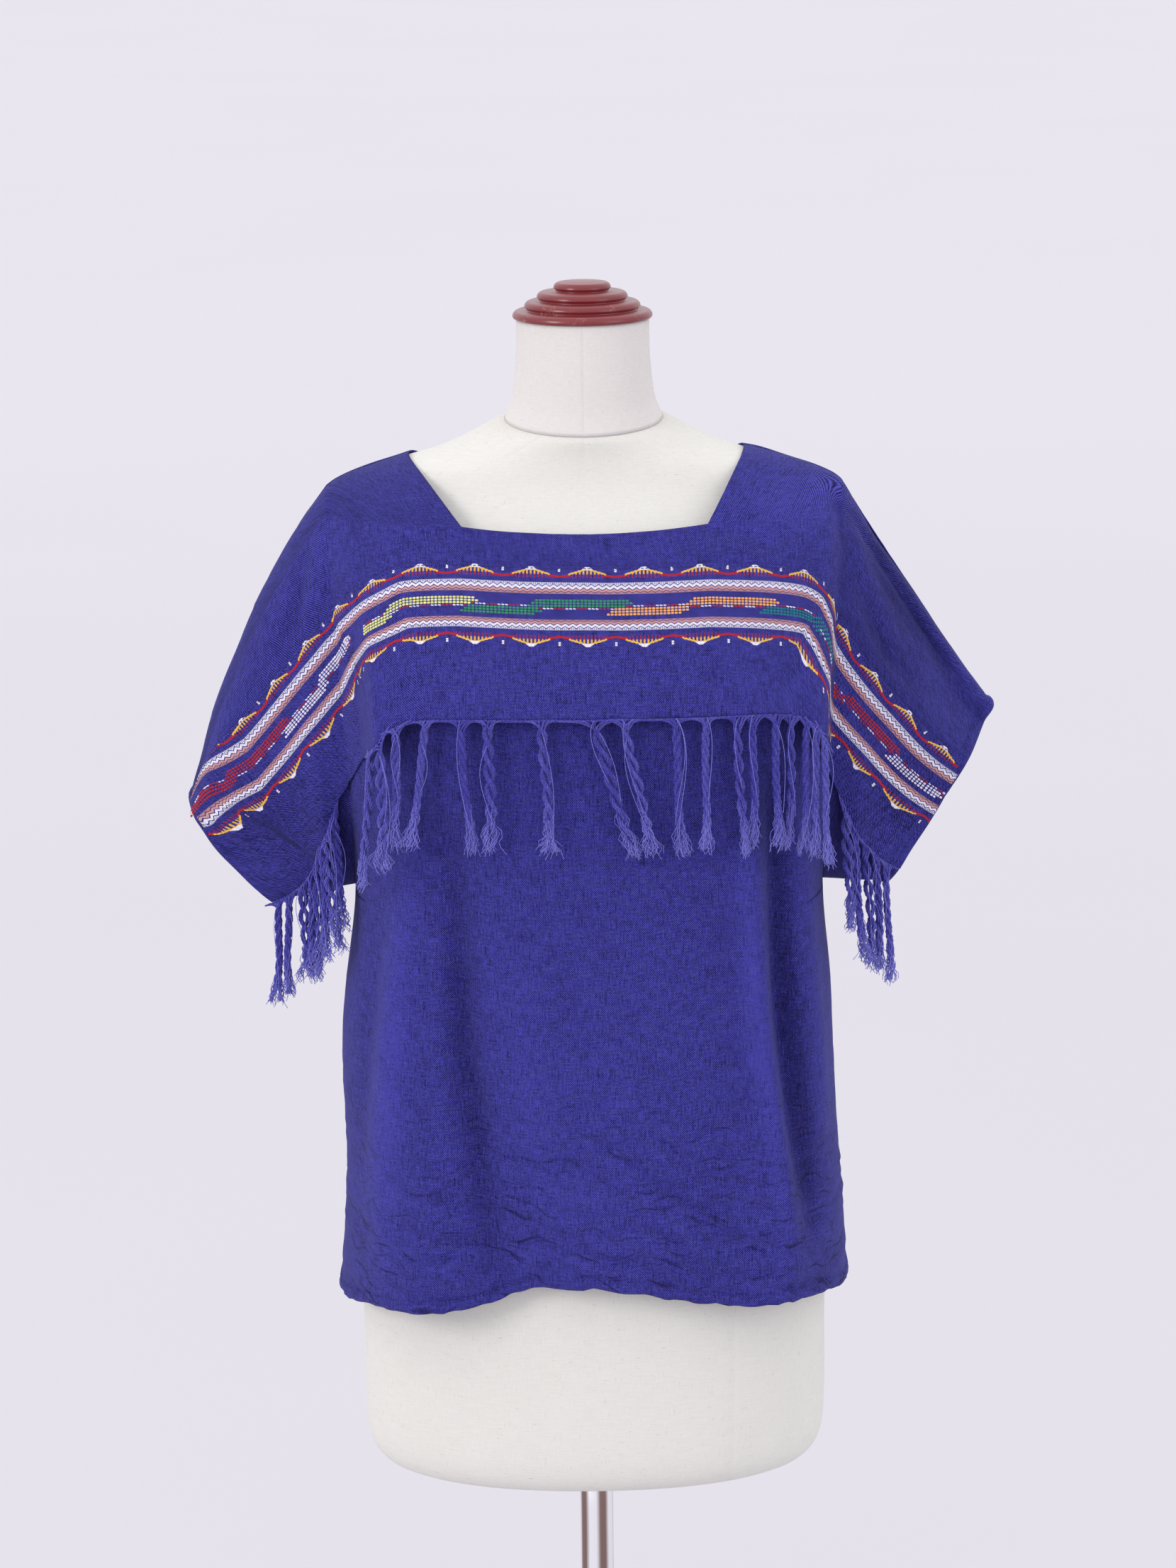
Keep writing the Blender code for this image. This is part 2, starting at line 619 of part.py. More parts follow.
def lock_rings(root, lock, outward):
    """Corners of a lock's rings, from the four corners under the rolled edge down to its blunt end."""
    centre = sum(root, Vector()) / 4
    rings = []
    for n in range(1, LOCK_SEGMENTS + 1):
        t = n / LOCK_SEGMENTS
        waist = 1 - 0.25 * math.sin(math.pi * t)
        width = (LOCK_WIDTH + (LOCK_END_WIDTH - LOCK_WIDTH) * t**3) * lock["width"] * waist
        bulge = outward * LOCK_FORWARD * math.sin(math.pi / 2 * t)
        middle = centre + Vector((lock["drift"] * t, 0, -lock["length"] * t)) + bulge
        ring = []
        for corner in root:
            arm = corner - centre
            arm.z = 0
            ring.append(middle + arm.normalized() * width / 1.6)
        rings.append(ring)
    return rings


def add_fringe(name, edge, span, lock_rows, collection, material):
    """A rolled edge with its locks: the locks grow out of faces on its underside."""
    stations = [span[0], span[1]]
    stations += [row[0] for row in edge if span[0] < row[0] < span[1]]
    lock_at = {}
    for row in lock_rows:
        lock = dict(zip(LOCK_COLUMNS, row))
        middle = lock["station"]
        length = (edge_at(edge, middle + 0.01)[0] - edge_at(edge, middle - 0.01)[0]).length
        half = LOCK_WIDTH * lock["width"] / 2 * 0.02 / length
        stations = [s for s in stations if abs(s - middle) > half * 1.15 or s in span]
        stations += [middle - half, middle + half]
        lock_at[middle - half] = lock
    stations.sort()

    mesh = bmesh.new()
    sections = []
    directions = []
    for station in stations:
        inner, outer, down = edge_at(edge, station)
        out = (outer - inner).normalized()
        middle = (inner + outer) / 2 + down * SEAM_GAP
        half = out * EDGE_DEPTH / 2
        low = middle + down * EDGE_HEIGHT
        corners = [middle + half, low + half, low - half, middle - half]
        sections.append([mesh.verts.new(corner) for corner in corners])
        directions.append(out)
    for i in range(len(stations) - 1):
        here, there = sections[i], sections[i + 1]
        lock = lock_at.get(stations[i])
        for side in range(4):
            if side == 1 and lock:
                continue
            after = (side + 1) % 4
            mesh.faces.new((here[side], there[side], there[after], here[after]))
        if lock:
            ring = [here[1], there[1], there[2], here[2]]
            outward = (directions[i] + directions[i + 1]).normalized()
            for corners in lock_rings([v.co.copy() for v in ring], lock, outward):
                below = [mesh.verts.new(corner) for corner in corners]
                for side in range(4):
                    after = (side + 1) % 4
                    mesh.faces.new((ring[side], ring[after], below[after], below[side]))
                ring = below
            mesh.faces.new(ring)
    mesh.faces.new(sections[0])
    mesh.faces.new(list(reversed(sections[-1])))
    bmesh.ops.recalc_face_normals(mesh, faces=mesh.faces)
    data = bpy.data.meshes.new(name)
    mesh.to_mesh(data)
    mesh.free()
    return add_object(name, data, collection, material)


def add_loft(name, section_rows, ring_points, collection, material):
    """A closed body through superellipse sections, flat at both ends."""
    mesh = bmesh.new()
    rings = []
    for row in section_rows:
        section = dict(zip(FORM_COLUMNS, row))
        ring = []
        for n in range(ring_points):
            angle = 2 * math.pi * n / ring_points
            power = 2 / section["squareness"]
            x = section["half_width"] * math.copysign(abs(math.cos(angle)) ** power, math.cos(angle))
            depth = section["back"] if math.sin(angle) > 0 else section["front"]
            y = depth * math.copysign(abs(math.sin(angle)) ** power, math.sin(angle))
            ring.append(mesh.verts.new((x, y, section["z"] + section["tilt"] * y)))
        rings.append(ring)
    for lower, upper in zip(rings, rings[1:]):
        for n in range(ring_points):
            after = (n + 1) % ring_points
            mesh.faces.new((lower[n], lower[after], upper[after], upper[n]))
    mesh.faces.new(list(reversed(rings[0])))
    mesh.faces.new(rings[-1])
    data = bpy.data.meshes.new(name)
    mesh.to_mesh(data)
    mesh.free()
    data.shade_smooth()
    return add_object(name, data, collection, material)


def add_turned(name, profile, steps, collection, material):
    """A body turned about +Z from a profile of (radius, height), its outer side from top to bottom."""
    data = bpy.data.meshes.new(name)
    data.from_pydata([(r, 0, z) for r, z in profile], [(n, n + 1) for n in range(len(profile) - 1)], [])
    obj = add_object(name, data, collection, material)
    screw = obj.modifiers.new("turn", "SCREW")
    screw.axis = "Z"
    screw.steps = steps
    screw.render_steps = steps
    screw.use_merge_vertices = True
    screw.merge_threshold = 0.00001
    return obj


def cap_profile():
    """Stepped crown of the neck cap: each tier is a rounded ring, wider than the one above."""
    top = CAP_TIER_HEIGHT * len(CAP_TIER_RADII)
    profile = [(0.0, top)]
    inner = 0.0
    for n, radius in enumerate(CAP_TIER_RADII):
        tier_top = top - n * CAP_TIER_HEIGHT
        if inner:
            profile.append((inner, tier_top - 0.12 * CAP_TIER_HEIGHT))
        for k in range(CAP_TIER_ROUND_POINTS):
            angle = math.pi / 2 * (k + 1) / CAP_TIER_ROUND_POINTS
            bulge = CAP_TIER_HEIGHT * 0.62
            profile.append(
                (
                    radius - bulge * (1 - math.sin(angle)),
                    tier_top - 0.12 * CAP_TIER_HEIGHT - bulge * (1 - math.cos(angle)),
                )
            )
        inner = radius - 0.0012
    profile.append((CAP_FLANGE_RADIUS - 0.0012, 0.0))
    profile.append((0.0, 0.0))
    return profile


def foot_profile():
    """Round foot: a low dome with a flat underside and a flat seat for the pole."""
    profile = [(0.0, FOOT_CROWN_HEIGHT), (FOOT_SOCKET_RADIUS, FOOT_CROWN_HEIGHT)]
    points = 5
    for n in range(1, points + 1):
        t = n / points
        radius = FOOT_SOCKET_RADIUS + (FOOT_RADIUS - 0.003 - FOOT_SOCKET_RADIUS) * t
        height = FOOT_EDGE_HEIGHT + (FOOT_CROWN_HEIGHT - 0.004 - FOOT_EDGE_HEIGHT) * (1 - t) ** 1.6
        profile.append((radius, height))
    profile += [(FOOT_RADIUS, FOOT_EDGE_HEIGHT - 0.003), (FOOT_RADIUS, 0.0), (0.0, 0.0)]
    return profile


def add_pole(collection, material):
    length = FORM_SECTIONS[0][0] - FOOT_CROWN_HEIGHT - 2 * SEAM_GAP
    bpy.ops.mesh.primitive_cylinder_add(
        vertices=POLE_SIDES,
        radius=POLE_RADIUS,
        depth=length,
        location=(0, 0, FOOT_CROWN_HEIGHT + SEAM_GAP + length / 2),
    )
    obj = bpy.context.object
    obj.name = "stand_pole"
    obj.data.materials.append(material)
    bpy.context.collection.objects.unlink(obj)
    collection.objects.link(obj)
    return obj


def main():
    clear_scene()
    collection = bpy.data.collections.new("woven_top_on_dress_form")
    bpy.context.scene.collection.children.link(collection)

    indigo = make_material("indigo_cotton", (0.055, 0.045, 0.33), 0.85)
    brocade = make_material("brocade_cotton", (0.075, 0.055, 0.36), 0.85)
    thread = make_material("fringe_thread", (0.11, 0.09, 0.45), 0.9)
    linen = make_material("form_linen", (0.80, 0.77, 0.70), 0.9)
    neck_linen = make_material("neck_linen", (0.82, 0.80, 0.78), 0.9)
    lacquer = make_material("cap_lacquer", (0.20, 0.018, 0.022), 0.25)
    chrome = make_material("pole_chrome", (0.75, 0.75, 0.76), 0.12, 1.0)
    enamel = make_material("foot_enamel", (0.55, 0.55, 0.56), 0.35, 0.8)

    stations, points, normals = add_panel("front", FRONT, collection, indigo)
    add_panel("back", BACK, collection, indigo)
    edge = add_flounce(stations, points, normals, collection, brocade)
    add_fringe("fringe_chest", edge, CHEST_FRINGE_SPAN, CHEST_LOCKS, collection, thread)
    add_fringe("fringe_left", edge, LEFT_FRINGE_SPAN, LEFT_LOCKS, collection, thread)
    add_fringe("fringe_right", edge, RIGHT_FRINGE_SPAN, RIGHT_LOCKS, collection, thread)
    add_loft("form_torso", FORM_SECTIONS, FORM_RING_POINTS, collection, linen)
    add_loft("form_neck", NECK_SECTIONS, NECK_RING_POINTS, collection, neck_linen)
    cap = add_turned("neck_cap", cap_profile(), CAP_STEPS, collection, lacquer)
    cap.location.z = CAP_Z
    add_pole(collection, chrome)
    add_turned("stand_foot", foot_profile(), FOOT_STEPS, collection, enamel)


main()
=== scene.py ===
"""Looks of a handwoven cotton pullover top with a brocade flounce, on a limbless dress form.

Metres, +Z up, and the front of the top faces -Y. Each sub-assembly is a class whose fields are its
sizes, each finish is a frozen dataclass that makes its material, and main() builds them in order.
"""

import logging
import math
from collections.abc import Callable
from dataclasses import dataclass, field
from enum import Enum, IntEnum

import bpy
import numpy as np
from bpy.types import Material, Mesh, Node, NodeSocket, Object
from mathutils import Matrix


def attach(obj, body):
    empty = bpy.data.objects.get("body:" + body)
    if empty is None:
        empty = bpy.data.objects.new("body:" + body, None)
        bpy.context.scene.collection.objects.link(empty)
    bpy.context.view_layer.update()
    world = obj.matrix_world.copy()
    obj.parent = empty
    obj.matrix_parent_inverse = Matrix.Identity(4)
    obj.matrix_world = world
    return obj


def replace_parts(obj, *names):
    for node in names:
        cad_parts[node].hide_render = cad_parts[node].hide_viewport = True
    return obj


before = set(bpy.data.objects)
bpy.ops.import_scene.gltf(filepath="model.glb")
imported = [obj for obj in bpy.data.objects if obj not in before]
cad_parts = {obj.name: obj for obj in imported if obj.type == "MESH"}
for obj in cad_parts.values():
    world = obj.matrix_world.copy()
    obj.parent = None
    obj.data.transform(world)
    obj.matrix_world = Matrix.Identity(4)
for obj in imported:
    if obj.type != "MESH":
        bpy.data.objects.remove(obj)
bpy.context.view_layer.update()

LOG = logging.getLogger("woven_top")
DOWNWARDS = np.array([0.0, 0.0, -1.0])
Points = np.ndarray
Colour = tuple[float, float, float]


class Face(IntEnum):
    """The two sides of the top: which way along Y each one faces."""

    FRONT = -1
    BACK = 1

    @property
    def word(self) -> str:
        """Its column in the tables and the start of its piece's name."""
        return self.name.lower()


class Side(IntEnum):
    """The two sleeves, as the photograph shows them: which way along X each one reaches."""

    LEFT = -1
    RIGHT = 1


def dyed(red: int, green: int, blue: int) -> Colour:
    """A display colour from 0 to 255 as the linear colour that a shader takes."""
    shares = [part / 255 for part in (red, green, blue)]
    return tuple(s / 12.92 if s < 0.04 else ((s + 0.055) / 1.055) ** 2.4 for s in shares)


class Thread(Enum):
    """Colours of the threads in the cloth, the brocade and the fringe."""

    INDIGO_DARK = dyed(13, 8, 62)
    INDIGO = dyed(28, 22, 98)
    INDIGO_LIGHT = dyed(72, 70, 170)
    PERIWINKLE = dyed(58, 54, 146)
    PERIWINKLE_TIP = dyed(120, 118, 204)
    WHITE = dyed(222, 217, 232)
    PEACH = dyed(200, 148, 142)
    RED = dyed(170, 32, 46)
    YELLOW = dyed(230, 180, 74)
    LIME = dyed(220, 220, 136)
    GREEN = dyed(50, 140, 94)
    ORANGE = dyed(234, 166, 96)
    TEAL = dyed(24, 120, 130)


def smooth_step(share: Points) -> Points:
    """A share clipped to 0..1 and eased at both ends."""
    share = np.clip(share, 0, 1)
    return share * share * (3 - 2 * share)


def fall_off(distance: Points, half_width: Points) -> Points:
    """A soft bump that is 1 at no distance and fades to 0 over a few half widths."""
    return np.exp(-((distance / half_width) ** 2))


def superellipse(q: Points, exponent: Points) -> Points:
    """Height of a unit superellipse above the share q of its half width."""
    return np.maximum(0, 1 - np.minimum(1, np.abs(q)) ** exponent) ** (1 / exponent)


def unit(vectors: Points) -> Points:
    """Vectors of length 1 along the last axis."""
    return vectors / np.maximum(np.linalg.norm(vectors, axis=-1, keepdims=True), 1e-12)


def lattice_noise(across: Points, down: Points, size: float, seed: int) -> Points:
    """Smooth noise between -1 and 1 over a plane.

    Args:
        across: First coordinate of each point, in metres.
        down: Second coordinate of each point, in metres.
        size: Width of one lump, in metres.
        seed: Start of the random lattice, so that each run gives the same lumps.

    Returns:
        The noise at each point.
    """
    lattice = np.random.default_rng(seed).uniform(-1, 1, (128, 128))
    column = across / size
    row = down / size
    i = np.floor(column).astype(int)
    j = np.floor(row).astype(int)
    s = smooth_step(column - i)
    t = smooth_step(row - j)
    near = lattice[i % 128, j % 128] * (1 - s) + lattice[(i + 1) % 128, j % 128] * s
    far = lattice[i % 128, (j + 1) % 128] * (1 - s) + lattice[(i + 1) % 128, (j + 1) % 128] * s
    return near * (1 - t) + far * t


@dataclass(frozen=True)
class Curves:
    """A table of a few chosen rows, read anywhere along its first column by smooth curves."""

    names: tuple[str, ...]
    rows: tuple[tuple[float, ...], ...]

    def at(self, column: str, where: Points) -> Points:
        """The named column at each value of the first column."""
        table = np.array(self.rows)
        key = table[:, 0]
        value = table[:, self.names.index(column)]
        before = np.maximum(np.arange(len(key)) - 1, 0)
        after = np.minimum(np.arange(len(key)) + 1, len(key) - 1)
        slope = (value[after] - value[before]) / (key[after] - key[before])
        where = np.clip(where, key[0], key[-1])
        i = np.clip(np.searchsorted(key, where, side="right") - 1, 0, len(key) - 2)
        width = key[i + 1] - key[i]
        t = (where - key[i]) / width
        lead = t * (1 - t) ** 2 * slope[i] * width
        tail = t * t * (t - 1) * slope[i + 1] * width
        ease = smooth_step(t)
        return value[i] * (1 - ease) + value[i + 1] * ease + lead + tail


SECTION_NAMES = ("z", "half_width", "front", "back", "squareness", "tilt")
FORM_SECTIONS = Curves(
    SECTION_NAMES,
    (
        (0.535, 0.146, 0.086, 0.09, 2.2, 0.0), (0.54, 0.159, 0.097, 0.101, 2.2, 0.0),
        (0.552, 0.168, 0.105, 0.109, 2.2, 0.0), (0.575, 0.1715, 0.108, 0.113, 2.2, 0.0),
        (0.64, 0.172, 0.109, 0.115, 2.2, 0.0), (0.72, 0.171, 0.108, 0.114, 2.2, 0.0),
        (0.8, 0.156, 0.1, 0.104, 2.2, 0.0), (0.87, 0.133, 0.091, 0.088, 2.1, 0.0),
        (0.94, 0.12, 0.087, 0.08, 2.1, 0.0), (1.02, 0.127, 0.099, 0.086, 2.1, 0.0),
        (1.08, 0.137, 0.114, 0.092, 2.1, 0.0), (1.125, 0.144, 0.121, 0.098, 2.1, 0.0),
        (1.17, 0.153, 0.113, 0.102, 2.1, 0.0), (1.21, 0.167, 0.098, 0.101, 2.1, 0.0),
        (1.24, 0.179, 0.081, 0.093, 2.1, 0.0), (1.258, 0.1815, 0.066, 0.08, 2.1, 0.0),
        (1.27, 0.1765, 0.058, 0.069, 2.0, 0.0), (1.2786, 0.165, 0.054, 0.062, 2.0, 0.0),
        (1.2867, 0.1455, 0.052, 0.058, 2.0, 0.0), (1.2924, 0.127, 0.051, 0.055, 2.0, 0.0),
        (1.2962, 0.111, 0.051, 0.054, 2.0, 0.02), (1.303, 0.0925, 0.051, 0.053, 2.0, 0.06),
        (1.312, 0.0725, 0.052, 0.054, 2.0, 0.12), (1.319, 0.057, 0.052, 0.053, 2.0, 0.14),
    ),
)
NECK_SECTIONS = Curves(
    SECTION_NAMES,
    (
        (1.3193, 0.057, 0.052, 0.053, 2.0, 0.14), (1.333, 0.0515, 0.049, 0.0505, 2.0, 0.1),
        (1.353, 0.0487, 0.0478, 0.0488, 2.0, 0.04), (1.373, 0.0476, 0.0472, 0.048, 2.0, 0.0),
        (1.39, 0.0476, 0.0472, 0.048, 2.0, 0.0),
    ),
)
BODY_SECTIONS = Curves(
    ("z", "left", "right", "front", "back", "squareness"),
    (
        (0.68, 0.186, 0.187, 0.127, 0.125, 2.7), (0.73, 0.1825, 0.1845, 0.1275, 0.125, 2.7),
        (0.77, 0.18, 0.1815, 0.128, 0.1245, 2.7), (0.83, 0.1815, 0.178, 0.1285, 0.123, 2.7),
        (0.87, 0.1815, 0.176, 0.129, 0.1215, 2.7), (0.905, 0.178, 0.175, 0.1295, 0.12, 2.7),
        (0.98, 0.169, 0.169, 0.1305, 0.117, 2.7), (1.06, 0.17, 0.171, 0.131, 0.115, 2.8),
        (1.12, 0.173, 0.174, 0.129, 0.115, 2.9), (1.16, 0.176, 0.1765, 0.124, 0.115, 2.9),
        (1.2, 0.18, 0.1795, 0.112, 0.113, 2.9), (1.23, 0.1825, 0.1815, 0.098, 0.106, 2.8),
        (1.2535, 0.184, 0.183, 0.084, 0.096, 2.6), (1.3, 0.185, 0.184, 0.06, 0.074, 2.4),
    ),
)
SHOULDER_LINE = Curves(
    ("x", "z"),
    (
        (0.0, 1.301), (0.08, 1.301), (0.119, 1.2955), (0.14, 1.2895), (0.165, 1.281), (0.178, 1.275),
        (0.186, 1.269),
    ),
)
SLEEVE_TOP = Curves(
    ("share", "left_x", "left_z", "right_x", "right_z"),
    (
        (0.0, 0.1845, 1.269, 0.1835, 1.269), (0.12, 0.2025, 1.245, 0.1985, 1.245),
        (0.36, 0.234, 1.1925, 0.2265, 1.202), (0.54, 0.253, 1.15, 0.2465, 1.172),
        (0.72, 0.27, 1.1085, 0.266, 1.142), (0.88, 0.2815, 1.069, 0.283, 1.118),
        (1.0, 0.2905, 1.039, 0.2945, 1.1035),
    ),
)
HEM_LINE = Curves(
    ("x", "rise"),
    (
        (-0.19, -0.016), (-0.16, -0.006), (-0.115, -0.001), (-0.085, 0.003), (-0.045, 0.014),
        (0.01, 0.015), (0.075, 0.004), (0.105, 0.0), (0.15, -0.002), (0.175, -0.006), (0.19, -0.014),
    ),
)
FLOUNCE_NAMES = ("station", "seam", "edge", "lift")
FLOUNCE_LEFT = Curves(
    FLOUNCE_NAMES,
    (
        (0.0, 0.134, 0.491, 0.007), (0.3, 0.134, 0.491, 0.008), (0.5, 0.145, 0.5, 0.013),
        (0.6, 0.174, 0.525, 0.024), (0.66, 0.192, 0.56, 0.033), (0.71, 0.206, 0.59, 0.018),
        (0.76, 0.22, 0.62, 0.003), (0.85, 0.243, 0.66, 0.001), (1.0, 0.268, 0.705, 0.002),
        (1.12, 0.268, 0.74, 0.006), (1.24, 0.262, 0.805, 0.014), (1.42, 0.24, 0.885, 0.007),
        (1.7, 0.15, 0.94, 0.004), (1.88, 0.055, 0.955, 0.003), (2.0, 0.03, 0.96, 0.003),
    ),
)
FLOUNCE_RIGHT = Curves(
    FLOUNCE_NAMES,
    (
        (0.0, 0.134, 0.491, 0.007), (0.3, 0.142, 0.491, 0.008), (0.5, 0.154, 0.495, 0.01),
        (0.65, 0.172, 0.51, 0.015), (0.76, 0.198, 0.535, 0.027), (0.85, 0.226, 0.565, 0.037),
        (0.9, 0.248, 0.59, 0.039), (0.95, 0.272, 0.635, 0.012), (1.02, 0.296, 0.69, 0.0015),
        (1.15, 0.314, 0.74, 0.005), (1.32, 0.32, 0.8, 0.01), (1.5, 0.316, 0.84, 0.006),
        (1.75, 0.304, 0.878, 0.004), (2.0, 0.276, 0.9, 0.003),
    ),
)


@dataclass(frozen=True)
class BodyFold:
    """A soft upright fold of the hanging body, strongest at the hem."""

    face: Face
    hem_x: float
    depth: float
    half_width: float
    lean: float
    fade_z: float


@dataclass(frozen=True)
class SleeveFold:
    """A fold along a sleeve: the row where it lies, its depth and its half width in rows."""

    side: Side
    face: Face
    row: float
    depth: float
    half_width: float


BODY_FOLDS = (
    BodyFold(Face.FRONT, -0.128, 0.017, 0.04, -0.006, 1.05),
    BodyFold(Face.FRONT, -0.052, -0.006, 0.034, -0.012, 0.96),
    BodyFold(Face.FRONT, 0.02, 0.003, 0.045, 0.004, 0.86),
    BodyFold(Face.FRONT, 0.132, 0.012, 0.026, 0.026, 1.06),
    BodyFold(Face.BACK, -0.12, 0.013, 0.036, 0.02, 1.08),
    BodyFold(Face.BACK, -0.045, -0.003, 0.03, 0.0, 0.9),
    BodyFold(Face.BACK, 0.03, 0.01, 0.036, 0.006, 1.02),
    BodyFold(Face.BACK, 0.118, 0.012, 0.03, -0.02, 1.08),
)
SLEEVE_FOLDS = (
    SleeveFold(Side.RIGHT, Face.FRONT, 0.2, -0.011, 0.085),
    SleeveFold(Side.RIGHT, Face.FRONT, 0.36, 0.006, 0.08),
    SleeveFold(Side.RIGHT, Face.FRONT, 0.7, -0.004, 0.09),
    SleeveFold(Side.LEFT, Face.FRONT, 0.24, 0.005, 0.09),
    SleeveFold(Side.LEFT, Face.FRONT, 0.6, -0.005, 0.1),
    SleeveFold(Side.LEFT, Face.BACK, 0.45, 0.005, 0.12),
    SleeveFold(Side.RIGHT, Face.BACK, 0.55, 0.005, 0.12),
)


@dataclass(frozen=True)
class Drape:
    """The form that the front, the back and the flounce hang in.

    A place on the cloth is a station, from -2 at the left cuff over -1 at the armhole and 0 in the
    middle to 2 at the right cuff, and a row v, from 0 at the shoulder over 1 at the underarm to 2 at
    the hem.
    """

    seam_gap: float = 0.0003
    form_clearance: float = 0.0012
    neckline_z: float = 1.2535
    back_neckline_rise: float = 0.012
    underarm_z: float = 0.98
    hem_z: float = 0.69
    shoulder_end_z: float = 1.269
    neck_half: tuple[float, float] = (0.1255, 0.114)
    neck_share: float = 0.471
    neck_sag: float = 0.005
    armhole_depth: float = 0.056
    cuff_depth: float = 0.026
    shoulder_rounding: float = 0.045
    even_angle: float = 1.25
    cuff_low_x: tuple[float, float] = (0.23, 0.219)
    cuff_low_z: tuple[float, float] = (0.9665, 0.976)
    cuff_bow: tuple[float, float] = (0.006, 0.0)
    sleeve_backward: tuple[float, float] = (0.012, 0.006)

    @property
    def neckline_share(self) -> float:
        """Share of the height from the shoulder's end to the underarm that the neckline lies down."""
        return (self.shoulder_end_z - self.neckline_z) / (self.shoulder_end_z - self.underarm_z)

    @property
    def neckline_row(self) -> float:
        """The row of the neckline."""
        return float(self.row_of(np.array(self.neckline_share)))

    @property
    def neck_station(self) -> float:
        """The station of the neck opening's lower corner."""
        return 2 / math.pi * math.asin(self.neck_share)

    @staticmethod
    def share_of(v: Points) -> Points:
        """Share of the height that a row takes, with rows closer at the fold and at the underarm."""
        return (1 - np.cos(np.pi * v)) / 2

    @staticmethod
    def row_of(share: Points) -> Points:
        """The row whose share of the height is this."""
        return np.arccos(1 - 2 * np.clip(share, 0, 1)) / np.pi

    @staticmethod
    def by_side(station: Points, values: tuple[float, float]) -> Points:
        """The left value where a station is on the left, and else the right one."""
        return np.where(station < 0, values[0], values[1])

    def form_depth(self, x: Points, z: Points, face: Face) -> Points:
        """How far the dress form reaches to the front or back at each place, and 0 beside it."""
        depth = np.zeros_like(x)
        for _ in range(3):
            level = z - FORM_SECTIONS.at("tilt", z) * face * depth
            half = FORM_SECTIONS.at("half_width", level)
            reach = FORM_SECTIONS.at(face.word, level)
            depth = reach * superellipse(x / half, FORM_SECTIONS.at("squareness", level))
            depth = np.where((np.abs(x) >= half) | (level > FORM_SECTIONS.rows[-1][0]), 0, depth)
        return depth

    def half_width(self, station: Points, z: Points) -> Points:
        """Half width of the body at each height, on the station's side."""
        return np.where(station < 0, BODY_SECTIONS.at("left", z), BODY_SECTIONS.at("right", z))

    def body_folds(self, face: Face, x: Points, z: Points) -> Points:
        """How far the soft upright folds stand out from the hanging cloth."""
        total = np.zeros_like(x)
        for fold in BODY_FOLDS:
            if fold.face != face:
                continue
            up = (z - self.hem_z) / (fold.fade_z - self.hem_z)
            centre = fold.hem_x + fold.lean * up
            half_width = fold.half_width * (1 - 0.45 * np.clip(up, 0, 1))
            fade = (1 - np.clip(up, 0, 1)) ** 1.3
            total += np.where(z > fold.fade_z, 0, fold.depth * fade * fall_off(x - centre, half_width))
        return total

    def torso(self, station: Points, v: Points, face: Face) -> Points:
        """Inner face of the body, between the two armhole lines."""
        side = np.where(station < 0, -1, 1)
        reach = np.minimum(1, np.abs(station))
        over = np.minimum(v, 1)
        q = np.sin(np.pi / 2 * reach)
        even = np.sin(self.even_angle * reach) / math.sin(self.even_angle)
        q = q + (even - q) * reach**6 * np.sqrt(np.clip(np.sin(np.pi * over), 0, 1))
        share = self.share_of(over)
        at_shoulder = self.half_width(station, np.full_like(q, self.shoulder_end_z))

        up = 1 - share / self.neckline_share
        shoulder_q = self.by_side(station, self.neck_half) / at_shoulder
        edge_q = self.neck_share + (shoulder_q - self.neck_share) * up
        spread = edge_q + (q - self.neck_share) * (1 - edge_q) / (1 - self.neck_share)
        at_neckline = (np.abs(v - self.neckline_row) < 1e-6) & (reach < self.neck_station - 1e-6)
        in_yoke = (v <= self.neckline_row + 1e-9) & ~at_neckline
        q = np.where(in_yoke & (q > self.neck_share - 0.01), spread, q)
        top = SHOULDER_LINE.at("z", q * at_shoulder)
        z_yoke = self.neckline_z + (top - self.neckline_z) * up

        down = (share - self.neckline_share) / (1 - self.neckline_share)
        z_chest = self.neckline_z + (self.underarm_z - self.neckline_z) * down
        inside = np.maximum(0, 1 - (q / self.neck_share) ** 2) * np.clip(1 - down, 0, 1) ** 6
        z_chest += inside * (self.back_neckline_rise if face == Face.BACK else -self.neck_sag)

        at_hem = self.half_width(station, np.full_like(q, self.hem_z))
        rise = HEM_LINE.at("rise", side * q * at_hem) * (1 if face == Face.FRONT else 0.3 + 0.7 * q**8)
        z_skirt = self.underarm_z + (self.hem_z + rise - self.underarm_z) * (v - 1)

        z = np.where(in_yoke, z_yoke, np.where(v <= 1, z_chest, z_skirt))
        half = self.half_width(station, z)
        x = side * half * q
        arm = self.armhole_depth * np.clip(np.sin(np.pi * over), 0, 1) ** 0.8
        rounding = 1 - np.maximum(0, 1 - (top - z) / self.shoulder_rounding) ** 2
        chest = BODY_SECTIONS.at(face.word, z) * np.sqrt(np.maximum(0, rounding))
        chest = chest * superellipse(q, BODY_SECTIONS.at("squareness", z))
        depth = np.cbrt(chest**3 + (arm * q**5) ** 3)
        depth += self.body_folds(face, x, z) * superellipse(q, np.full_like(q, 6.0))
        depth = np.maximum(depth, self.form_depth(x, z, face) + self.form_clearance)
        depth = depth * np.where(v > 0, 1, 0) + self.seam_gap / 2
        return np.stack([x, face * depth, z], axis=-1)

